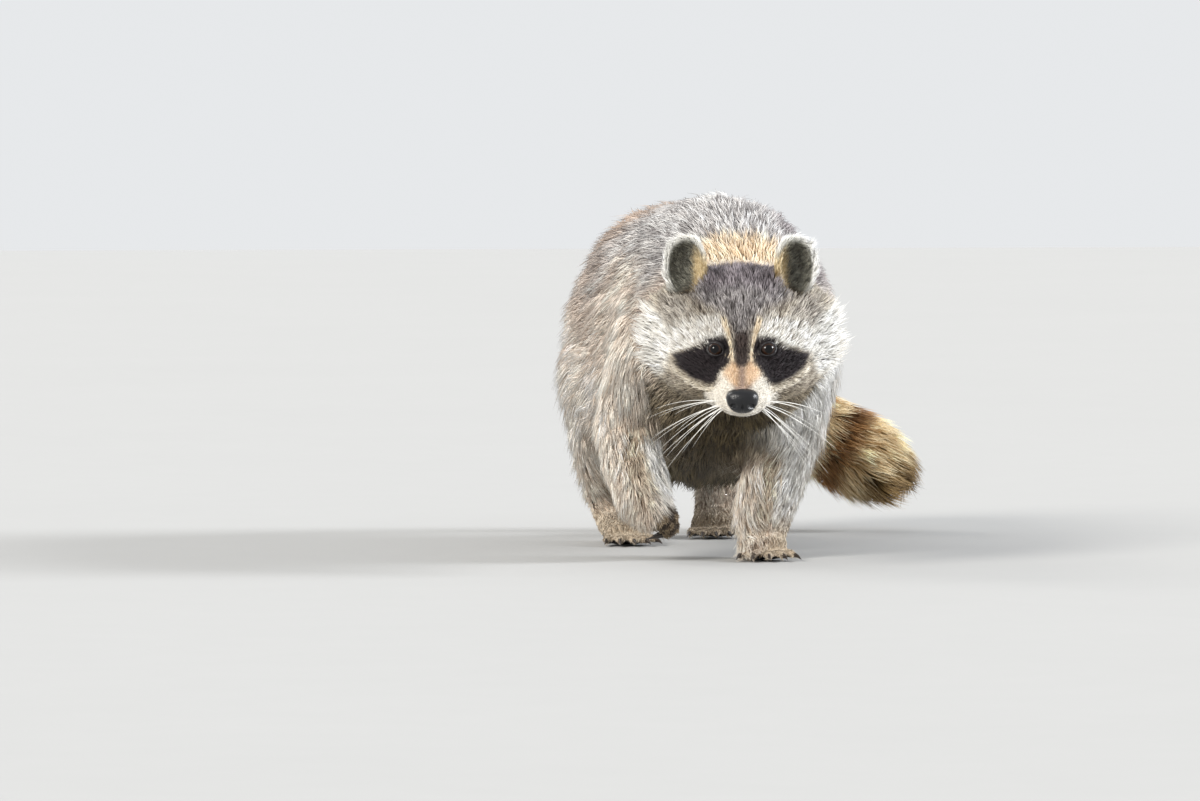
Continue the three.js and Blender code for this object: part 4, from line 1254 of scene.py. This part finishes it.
# %% Grow the coat
MOST_TUFTS = 19500  # ten triangles each, under 200,000 in a piece
GROUPS = {
    "face": (("muzzle", "head"), "body_fur"),
    "ears": (("ear",), "pale_fur"),
    "neck": (("neck",), "body_fur"),
    "trunk": (("trunk",), "body_fur"),
    "limbs": (("upper", "lower"), "leg_fur"),
    "feet": (("foot",), "leg_fur"),
    "tail": (("tail",), "tail_fur"),
}
root_part = root_shares.argmax(axis=1)
coat = []
for group, (parts, slot) in GROUPS.items():
    members = np.flatnonzero(np.isin(root_part, [PART[name] for name in parts]))
    members = members[np.argsort(roots[members, 1], kind="stable")]
    picks = np.array_split(members, math.ceil(len(members) / MOST_TUFTS))
    names = [f"coat_{group}_{i + 1}" for i in range(len(picks))] if len(picks) > 1 else [f"coat_{group}"]
    coat += [coat_piece(name, pick, slot) for name, pick in zip(names, picks)]
    print(group, len(members), "tufts in", len(picks), "pieces")
print(sum(len(piece.data.polygons) for piece in coat), "triangles of coat")

# %% [markdown]
# ## Eyes
# An eye is a ball with a slightly bulging cornea, set so deep that the lids cover most of it. Its points
# are worked out from two angles, and its map runs from the middle of the pupil outwards, so that the
# material can draw pupil, iris and rim as rings.

# %% Closed shapes on a grid
def grid_faces(rows, columns):
    """Four-cornered faces of a grid of points whose last column joins its first."""
    row, column = np.meshgrid(np.arange(rows - 1), np.arange(columns), indexing="ij")
    row, column = row.ravel() * columns, column.ravel()
    after = (column + 1) % columns
    return np.stack([row + column, row + columns + column, row + columns + after, row + after], axis=1)


def ball_angles(rings, around, pole):
    """The angle from a ball's front, as a column of rings from pole to as near the back, and the turn
    round its axis, as a row."""
    angle = np.linspace(pole, math.pi - pole, rings)[:, None]
    return angle, np.linspace(0, 2 * math.pi, around, endpoint=False)[None]


def outward_share(piece, middle):
    """The share of faces whose normal points away from the middle."""
    normals, places = (np.empty(len(piece.data.polygons) * 3) for _ in range(2))
    piece.data.polygons.foreach_get("normal", normals)
    piece.data.polygons.foreach_get("center", places)
    return float((np.sum((places.reshape(-1, 3) - middle) * normals.reshape(-1, 3), axis=1) > 0).mean())


# %% Eyeballs
EYE_RINGS, EYE_AROUND = 40, 48
CORNEA = {"ball": 0.97, "bulge": 0.07, "angle": 0.6}  # eye radii, and the angle over which it fades


def eyeball(side):
    """A ball about the gaze: at an angle from it the radius is the eye's, plus a bulge that fades with
    the angle's square. Rings run from the pupil to the back."""
    out, above, gaze = EYE_AXES[side]
    angle, turn = ball_angles(EYE_RINGS, EYE_AROUND, 0.02)
    radius = EYE_RADIUS * (CORNEA["ball"] + CORNEA["bulge"] * np.exp(-((angle / CORNEA["angle"]) ** 2)))
    handed = 1 if side == "left" else -1
    points = EYES[side] + (
        (radius * np.cos(angle) * np.ones_like(turn))[..., None] * gaze
        + (radius * np.sin(angle) * np.cos(turn))[..., None] * out
        + (handed * radius * np.sin(angle) * np.sin(turn))[..., None] * above
    ).reshape(-1, 3)
    faces = grid_faces(EYE_RINGS, EYE_AROUND)
    piece = mesh_from(f"eyeball_{side}", points, faces)
    ring_of = np.repeat(angle[:, 0] / math.pi, EYE_AROUND)
    set_map(piece, "rings", np.stack([np.zeros(faces.size), ring_of[faces.ravel()]], axis=1))
    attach(piece, "root")
    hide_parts(f"eye_{side}")
    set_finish(piece, "eye")
    return piece


eyes = [eyeball(side) for side in EYES]
print("eyeballs face outwards:", [round(outward_share(eye, EYES[side]), 2) for eye, side in zip(eyes, EYES)])

# %% [markdown]
# ## Nose pad
# The pad is a rounded cushion of wet leather, broad above and narrower below. Two comma-shaped nostrils
# open at its lower sides, and a furrow runs down its middle to the lip. It could be sculpted into the skin.
# As a piece of its own it keeps a clean edge, and its dents are bell curves with sizes in millimetres.

# %% Nose pad
NOSE_RINGS, NOSE_AROUND = 70, 96
NOSE_HALF = (13.3 * MM, 10.3 * MM, 10.3 * MM)  # half of its width, depth and height
NOSE_SQUARED = 2.35  # 2 would be an ellipsoid
NOSE_WIDENS = 0.16  # by this share from the middle to the top
NOSTRIL = {"side": 7.6 * MM, "up": -2.6 * MM, "reach": 2.8 * MM, "depth": 3.4 * MM}
SLIT = {"below": 1.6 * MM, "half": 1.0 * MM, "depth": 1.6 * MM}
FURROW = {"half": 0.8 * MM, "depth": 1.3 * MM}
NOSE_TILT = math.radians(14)
NOSE_AHEAD = unit(AHEAD * math.cos(NOSE_TILT) - UP * math.sin(NOSE_TILT))
NOSE_UP = unit(UP - NOSE_AHEAD * (UP @ NOSE_AHEAD))


def nose_dents(x, y, z):
    """How far the pad is pressed in at each place: bells make the nostrils, a narrow bell along a slanting
    line their slits, and a narrow one down the middle the furrow."""
    side = (np.abs(x) - NOSTRIL["side"]) / NOSTRIL["reach"]
    up = (z - NOSTRIL["up"]) / (0.8 * NOSTRIL["reach"])
    hole = np.exp(-((side**2 + up**2) ** 1.5))
    slit_up = NOSTRIL["up"] - SLIT["below"] - 0.25 * (np.abs(x) - NOSTRIL["side"])
    slit = np.exp(-(((z - slit_up) / SLIT["half"]) ** 2)) * ramp(np.abs(x), 6.5 * MM, 9 * MM)
    furrow = np.exp(-((x / FURROW["half"]) ** 2)) * ramp(-z, -3 * MM, 4 * MM)
    pressed = ramp(y, 0, 5 * MM) * (NOSTRIL["depth"] * hole + furrow * FURROW["depth"])
    return pressed, ramp(y, -4 * MM, 3 * MM) * SLIT["depth"] * slit


def nose_pad():
    """A ball stretched to the pad's size and squared a little: each direction's length is the root of the
    sum of powers of its parts. Its width falls towards the chin."""
    angle, turn = ball_angles(NOSE_RINGS, NOSE_AROUND, 0.01)
    ahead = np.cos(angle) * np.ones_like(turn)
    side, up = np.sin(angle) * np.cos(turn), np.sin(angle) * np.sin(turn)
    powers = sum(np.abs(part) ** NOSE_SQUARED for part in (ahead, side, up))
    size = powers ** (-1 / NOSE_SQUARED)
    x, y, z = side * size * NOSE_HALF[0], ahead * size * NOSE_HALF[1], up * size * NOSE_HALF[2]
    x = x * (1 + NOSE_WIDENS * z / NOSE_HALF[2])
    for dent in nose_dents(x, y, z):
        y = y - dent
    points = x[..., None] * ACROSS + y[..., None] * NOSE_AHEAD + z[..., None] * NOSE_UP
    piece = mesh_from("nose_pad", NOSE + points.reshape(-1, 3), grid_faces(NOSE_RINGS, NOSE_AROUND))
    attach(piece, "root")
    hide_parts("nose")
    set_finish(piece, "nose")
    return piece


nose = nose_pad()
print("nose faces outwards:", round(outward_share(nose, NOSE), 2))

# %% [markdown]
# ## Tubes: whiskers and claws
# A whisker is a fine tapering tube with a slow curve. A claw is a short one, flattened from side to side,
# that starts inside its toe and bends down to a point. Both could be curve objects with a bevel. As rings of
# points along a line they share one function and are meshes from the start.

# %% Tapering tubes
TUBE_STEPS = 9
STEPS = np.linspace(0, 1, TUBE_STEPS)


def tubes(lines, radii, squash, around):
    """Rings of points square to each line, joined into closed tubes. lines is (tube, step, 3), and radii
    holds one for each step. The side of a ring is level where it can be, and squash narrows it that way."""
    along = unit(np.gradient(lines, axis=1))
    side = unit(np.cross(along, UP + 0.02 * ACROSS))
    above = np.cross(side, along)
    turn = np.linspace(0, 2 * math.pi, around, endpoint=False)
    ring = side[:, :, None] * (squash * np.cos(turn))[:, None] + above[:, :, None] * np.sin(turn)[:, None]
    points = lines[:, :, None] + radii[None, :, None, None] * ring
    start = (np.arange(len(lines)) * TUBE_STEPS * around)[:, None, None]
    quads = (grid_faces(TUBE_STEPS, around)[None] + start).reshape(-1, 4)
    fan = np.arange(1, around - 1)
    cap = np.stack([np.zeros_like(fan), fan, fan + 1], axis=1)
    ends = np.concatenate([cap, (cap + (TUBE_STEPS - 1) * around)[:, ::-1]])
    ends = (ends[None] + start).reshape(-1, 3)
    return points.reshape(-1, 3), np.concatenate([quads[:, [0, 1, 2]], quads[:, [0, 2, 3]], ends])


# %% Whiskers
WHISKERS = {"number": 15, "rows": 4, "length": (34 * MM, 74 * MM), "radius": 0.31 * MM, "taper": 0.85}
WHISKER_ROOT = 1.0 * MM  # under the skin
WHISKER_BEND = UP * 0.24 + AHEAD * 0.06
skin_tree = BVHTree.FromPolygons(skin_points.tolist(), skin_faces.tolist())


def whisker_roots(sign, chance):
    """The start of each whisker, just under the skin beside the nose, with its row from the top and its
    place in the row from 0 to about 1."""
    number = np.arange(WHISKERS["number"])
    row, place = number % WHISKERS["rows"], number // WHISKERS["rows"] / 3
    start = (NOSE + np.outer(-9 * MM - 11 * MM * place, AHEAD) + np.outer(-1 * MM - 3.1 * MM * row, UP)
             + np.outer(sign * (17 + 2.5 * place) * MM, ACROSS) + chance.normal(0, 0.5 * MM, (len(row), 3)))
    found = [skin_tree.find_nearest(p) for p in start.tolist()]
    start, outwards = (np.array([hit[k] for hit in found]) for k in range(2))
    return start - WHISKER_ROOT * outwards, row, place


def whisker_lines(side):
    """Each whisker leaves outwards, back and a little down, the lower ones further down; gravity bends it
    more the longer it is."""
    sign = 1 if side == "left" else -1
    chance = np.random.default_rng(41 if side == "left" else 42)
    start, row, place = whisker_roots(sign, chance)
    drop = -0.02 - 0.27 * row + chance.normal(0, 0.10, len(row))
    back = 0.25 + 0.3 * place + chance.normal(0, 0.08, len(row))
    leave = unit(sign * ACROSS + np.outer(drop, UP) - np.outer(back, AHEAD))
    length = mix(*WHISKERS["length"], chance.random(len(row)) ** 0.7)[:, None, None]
    t = STEPS[None, :, None]
    return start[:, None] + leave[:, None] * length * t - WHISKER_BEND * length * t**2


def whiskers(side):
    """The whiskers of one side, joined."""
    points, faces = tubes(whisker_lines(side), WHISKERS["radius"] * (1 - WHISKERS["taper"] * STEPS), 1.0, 6)
    piece = mesh_from(f"whiskers_{side}", points, faces)
    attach(piece, "root")
    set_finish(piece, "whisker")
    return piece


whisker_pieces = [whiskers(side) for side in EYES]
print(WHISKERS["number"], "whiskers on each side")

# %% Claws
CLAW = {"sink": 3.5 * MM, "radius": 2.3 * MM, "arch": 2.2 * MM, "flat": 0.62}
CLAW_END = 1.5 * MM


def claw_axis(node):
    """The start and the tip of a claw: its solid's longest direction, from the blunt end to the sharp."""
    points = welded(node)[0]
    middle = points.mean(axis=0)
    _, _, axes = np.linalg.svd(points - middle, full_matrices=False)
    along = (points - middle) @ axes[0]
    low, high = points[along < along.min() + CLAW_END], points[along > along.max() - CLAW_END]
    spread = [np.linalg.norm(end - end.mean(axis=0), axis=1).max() for end in (low, high)]
    ends = (low.mean(axis=0), high.mean(axis=0))
    return ends if spread[0] > spread[1] else ends[::-1]


def claws(leg):
    """The five claws of one paw: each line runs from inside the toe to the tip and arches over, and each
    tube thins to a point."""
    names = claws_of(leg)
    ends = np.array([claw_axis(name) for name in names])
    start, tip = ends[:, 0], ends[:, 1]
    start = start - unit(tip - start) * CLAW["sink"]
    t = STEPS[None, :, None]
    lines = mix(start[:, None], tip[:, None], t) - PALMS[leg] * CLAW["arch"] * (4 * t * (1 - t) * 0.6)
    points, faces = tubes(lines, CLAW["radius"] * (1 - STEPS**1.6 * 0.9), CLAW["flat"], 10)
    piece = mesh_from(f"claws_{leg}", points, faces)
    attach(piece, "root")
    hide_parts(*names)
    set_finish(piece, "claw")
    return piece


claw_pieces = [claws(leg) for leg in LEGS]
print(len(whisker_pieces), "sets of whiskers,", len(claw_pieces), "sets of claws")

# %% [markdown]
# ## Finishes
# Hair, leather and horn are never of one even tone, and leather is never smooth. Two node groups carry
# what several materials share: `mottle` varies a colour by noise at two sizes, and `grain` gives a height
# for a Bump node. The Principled shaders stay in the materials.

# %% Node helpers
def new_group(name, inputs, output):
    """An empty shader node group: inputs are names, types and values, the output a name and a type."""
    group = bpy.data.node_groups.new(name, "ShaderNodeTree")
    for label, kind, value in inputs:
        socket = group.interface.new_socket(name=label, in_out="INPUT", socket_type=kind)
        socket.default_value = value
    group.interface.new_socket(name=output[0], in_out="OUTPUT", socket_type=output[1])
    return group, group.nodes.new("NodeGroupInput"), group.nodes.new("NodeGroupOutput")


def arithmetic(tree, operation, a, b):
    """The result of a Math node whose inputs are sockets or numbers."""
    node = tree.nodes.new("ShaderNodeMath")
    node.operation = operation
    for socket, value in zip(node.inputs, (a, b)):
        if isinstance(value, (int, float)):
            socket.default_value = value
        else:
            tree.links.new(value, socket)
    return node.outputs[0]


def texture(tree, kind, place, size, output):
    """What a texture node of that kind gives when it reads that place at that size."""
    node = tree.nodes.new(kind)
    tree.links.new(place, node.inputs["Vector"])
    tree.links.new(size, node.inputs["Scale"])
    return node.outputs[output]


# %% Shared effects
FINER = {"mottle": 9.0, "grain": 2.5}  # how many times finer the second noise is


def make_mottle():
    """Multiplies a colour by a brightness that wanders round 1: coarse noise plus fine noise."""
    group, start, end = new_group("mottle", [
        ("Color", "NodeSocketColor", (1, 1, 1, 1)), ("Size", "NodeSocketFloat", 60.0),
        ("Amount", "NodeSocketFloat", 0.3),
    ], ("Color", "NodeSocketColor"))
    place, size = group.nodes.new("ShaderNodeTexCoord").outputs["Object"], start.outputs["Size"]
    finer = arithmetic(group, "MULTIPLY", size, FINER["mottle"])
    coarse, fine = (texture(group, "ShaderNodeTexNoise", place, each, "Fac") for each in (size, finer))
    swing = arithmetic(group, "SUBTRACT", arithmetic(group, "ADD", coarse, fine), 1.0)
    swing = arithmetic(group, "MULTIPLY", swing, start.outputs["Amount"])
    scale = group.nodes.new("ShaderNodeVectorMath")
    scale.operation = "SCALE"
    group.links.new(start.outputs["Color"], scale.inputs[0])
    group.links.new(arithmetic(group, "ADD", swing, 1.0), scale.inputs["Scale"])
    group.links.new(scale.outputs[0], end.inputs["Color"])
    return group


def make_grain():
    """A height from pebbles, the distance to the nearest cell's middle, with fine noise over them."""
    group, start, end = new_group(
        "grain", [("Size", "NodeSocketFloat", 900.0)], ("Height", "NodeSocketFloat"))
    place, size = group.nodes.new("ShaderNodeTexCoord").outputs["Object"], start.outputs["Size"]
    finer = arithmetic(group, "MULTIPLY", size, FINER["grain"])
    cells = texture(group, "ShaderNodeTexVoronoi", place, size, "Distance")
    fine = arithmetic(group, "MULTIPLY", texture(group, "ShaderNodeTexNoise", place, finer, "Fac"), 0.4)
    group.links.new(arithmetic(group, "ADD", cells, fine), end.inputs["Height"])
    return group


MOTTLE, GRAIN = make_mottle(), make_grain()
print("node groups", MOTTLE.name, "and", GRAIN.name)


# %% Material helpers
def new_material(name, roughness, **constants):
    """A material, its node tree and its Principled shader, with plain values on the shader's sockets."""
    material = bpy.data.materials.new(name)
    material.use_nodes = True
    shader = material.node_tree.nodes["Principled BSDF"]
    shader.inputs["Roughness"].default_value = roughness
    for label, value in constants.items():
        shader.inputs[label.replace("_", " ")].default_value = value
    return material, material.node_tree, shader


def mottled(tree, shader, size, amount, colour):
    """Puts the mottle group before the base colour. colour is a socket, or one tone for the piece."""
    node = tree.nodes.new("ShaderNodeGroup")
    node.node_tree = MOTTLE
    node.inputs["Size"].default_value = size
    node.inputs["Amount"].default_value = amount
    if isinstance(colour, tuple):
        node.inputs["Color"].default_value = (*tone(*colour), 1.0)
    else:
        tree.links.new(colour, node.inputs["Color"])
    tree.links.new(node.outputs["Color"], shader.inputs["Base Color"])


def grained(tree, shader, size, strength, distance):
    """Puts the grain group before a Bump node that feeds the shader's normal."""
    node = tree.nodes.new("ShaderNodeGroup")
    node.node_tree = GRAIN
    node.inputs["Size"].default_value = size
    bump = tree.nodes.new("ShaderNodeBump")
    bump.inputs["Strength"].default_value = strength
    bump.inputs["Distance"].default_value = distance
    tree.links.new(node.outputs["Height"], bump.inputs["Height"])
    tree.links.new(bump.outputs["Normal"], shader.inputs["Normal"])


def stored(tree, name, output):
    """What an attribute of the mesh holds at each point."""
    node = tree.nodes.new("ShaderNodeAttribute")
    node.attribute_name = name
    return node.outputs[output]


# %% Fur and skin
def fur_finish(name):
    """Hair takes its tone from the tuft's own colours."""
    material, tree, shader = new_material(name, 0.62, Specular_IOR_Level=0.35)
    mottled(tree, shader, 90.0, 0.35, stored(tree, "coat", "Color"))
    return material


def skin_finish():
    """Skin under the coat takes the coat's tones, and is smoother leather where it is bare."""
    material, tree, shader = new_material("skin", 0.7, Specular_IOR_Level=0.4)
    mottled(tree, shader, 120.0, 0.5, stored(tree, "coat", "Color"))
    smoother = arithmetic(tree, "MULTIPLY", stored(tree, "bare", "Fac"), 0.42)
    tree.links.new(arithmetic(tree, "SUBTRACT", 0.85, smoother), shader.inputs["Roughness"])
    grained(tree, shader, 700.0, 0.5, 0.0006)
    return material


FUR = {slot: fur_finish(slot) for slot in ("body_fur", "pale_fur", "leg_fur", "tail_fur")}
for piece in coat:
    piece.data.materials.append(FUR[piece["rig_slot"]])
skin.data.materials.append(skin_finish())
print(len(FUR), "furs on", len(coat), "pieces of coat")

# %% [markdown]
# The wet parts catch the light. An eye is dark rings under a clear smooth coat, the nose is black leather
# with a soft shine, and claws and whiskers are horn. Rings on the eye's own map were chosen rather than
# separate shells for iris and pupil, because they show no seam when seen from the side.

# %% Eyes
EYE_RINGS_TONES = [  # share of the way from the middle of the pupil to the back of the eye, and tone
    (0.0, (3, 2, 3)), (0.15, (4, 3, 3)), (0.18, (46, 28, 18)), (0.25, (32, 19, 12)), (0.31, (8, 6, 5)),
    (0.5, (22, 16, 14)),
]


def eye_finish():
    """Rings from the pupil outwards on the eye's own map, under a clear wet coat."""
    material, tree, shader = new_material(
        "eye", 0.3, Coat_Weight=0.6, Coat_Roughness=0.02, Coat_IOR=1.46, Specular_IOR_Level=0.0)
    rings = tree.nodes.new("ShaderNodeUVMap")
    rings.uv_map = "rings"
    split = tree.nodes.new("ShaderNodeSeparateXYZ")
    tree.links.new(rings.outputs["UV"], split.inputs[0])
    colours = tree.nodes.new("ShaderNodeValToRGB")
    stops = colours.color_ramp.elements
    while len(stops) < len(EYE_RINGS_TONES):
        stops.new(1.0)
    for stop, (place, shade) in zip(stops, EYE_RINGS_TONES):
        stop.position = place
        stop.color = (*tone(*shade), 1.0)
    tree.links.new(split.outputs["Y"], colours.inputs["Fac"])
    mottled(tree, shader, 500.0, 0.5, colours.outputs["Color"])
    return material


eye_material = eye_finish()
for piece in eyes:
    piece.data.materials.append(eye_material)
print("eyes in", len(EYE_RINGS_TONES), "rings")


# %% Nose, claws and whiskers
def nose_finish():
    """Wet black leather with fine pebbles."""
    material, tree, shader = new_material("nose", 0.28, Specular_IOR_Level=0.5)
    mottled(tree, shader, 300.0, 0.5, (7, 7, 11))
    grained(tree, shader, 1100.0, 0.4, 0.0004)
    return material


def horn_finish(name, shade, roughness):
    """Claws and whiskers: one shade with a little streaking."""
    material, tree, shader = new_material(name, roughness, Specular_IOR_Level=0.5)
    mottled(tree, shader, 250.0, 0.5, shade)
    return material


nose.data.materials.append(nose_finish())
for pieces, finish in ((whisker_pieces, horn_finish("whisker", (246, 244, 238), 0.4)),
                       (claw_pieces, horn_finish("claw", (46, 37, 31), 0.38))):
    for piece in pieces:
        piece.data.materials.append(finish)
print(len(bpy.data.materials), "materials")

# %% [markdown]
# ## Floor, light and camera
# A wide pale floor carries the animal. The main light is a large soft lamp to the camera's left, ahead of
# the animal and above it. A second one, low on the right, brightens the coat's edge on that side, and a weak
# one from behind on the left lifts the rump. All three look wide in the sky, so that their shadows have
# soft edges. The camera stands a little above the eyes, far away, with a long lens.

# %% Floor
def make_floor():
    """A plain pale square on the ground."""
    half = 12.0
    points = half * np.array([(-1, -1, 0), (1, -1, 0), (1, 1, 0), (-1, 1, 0)])
    floor = mesh_from("floor", points, np.array([[0, 1, 2, 3]]))
    material, tree, shader = new_material("floor", 0.8)
    mottled(tree, shader, 2.0, 0.03, (172, 172, 171))
    floor.data.materials.append(material)
    return floor


make_floor()

# %% Lights
SUBJECT = (np.array(CAD_BOX[0]) + np.array(CAD_BOX[1])) / 2


def aim(piece, target):
    """Turns a lamp or a camera so that its -Z axis points at the target and its X axis is level."""
    back = unit(np.array(piece.location) - target)
    right = unit(np.cross(UP, back))
    turned = np.eye(4)
    turned[:3, 0], turned[:3, 1], turned[:3, 2] = right, np.cross(back, right), back
    turned[:3, 3] = np.array(piece.location)
    piece.matrix_world = Matrix(turned.tolist())


def soft_sun(name, place, spread, power, shade):
    """A distant lamp on that side of the animal, as wide in the sky as spread degrees."""
    data = bpy.data.lights.new(name, "SUN")
    data.angle, data.energy, data.color = math.radians(spread), power, tone(*shade)
    lamp = bpy.data.objects.new(name, data)
    bpy.context.scene.collection.objects.link(lamp)
    lamp.location = SUBJECT + np.array(place)
    bpy.context.view_layer.update()
    aim(lamp, SUBJECT)


ROOM = (236, 238, 240)
soft_sun("key", (-2.5, -1.9, 1.8), 20, 2.8, (255, 251, 244))
soft_sun("edge", (2.6, -0.15, 1.1), 18, 3.6, (250, 252, 255))
soft_sun("back", (-1.6, 1.6, 1.6), 26, 0.8, (255, 252, 247))
world = bpy.data.worlds.new("room")
bpy.context.scene.world = world
world.use_nodes = True
world.node_tree.nodes["Background"].inputs["Color"].default_value = (*tone(*ROOM), 1.0)
world.node_tree.nodes["Background"].inputs["Strength"].default_value = 0.95
bpy.context.scene.view_settings.view_transform = "Standard"

# %% Camera
CAMERA = {"azimuth": -9.0, "elevation": 2.0, "distance": 6.5, "left": 0.1189, "below": 0.0428, "frame": 1.008}


def make_camera():
    """A camera at that angle and distance from the middle of the eyes. Its frame is that wide there, and
    its centre lies that far to the left of the eyes and below them."""
    turn, rise = math.radians(CAMERA["azimuth"]), math.radians(CAMERA["elevation"])
    back = np.array([math.sin(turn) * math.cos(rise), -math.cos(turn) * math.cos(rise), math.sin(rise)])
    right = unit(np.cross(UP, back))
    above = np.cross(back, right)
    data = bpy.data.cameras.new("camera")
    data.sensor_width = 36.0
    data.lens = 36.0 * CAMERA["distance"] / CAMERA["frame"]
    data.clip_end = 100.0
    camera = bpy.data.objects.new("camera", data)
    bpy.context.scene.collection.objects.link(camera)
    camera.location = EYES_MIDDLE + CAMERA["distance"] * back
    bpy.context.view_layer.update()
    aim(camera, EYES_MIDDLE - CAMERA["left"] * right - CAMERA["below"] * above)
    bpy.context.scene.camera = camera
    return camera


camera = make_camera()
print("camera at", [round(v, 2) for v in camera.matrix_world.translation], "lens", round(camera.data.lens))

# %% Finish
print("box of the solids", [[round(v, 4) for v in corner] for corner in CAD_BOX])
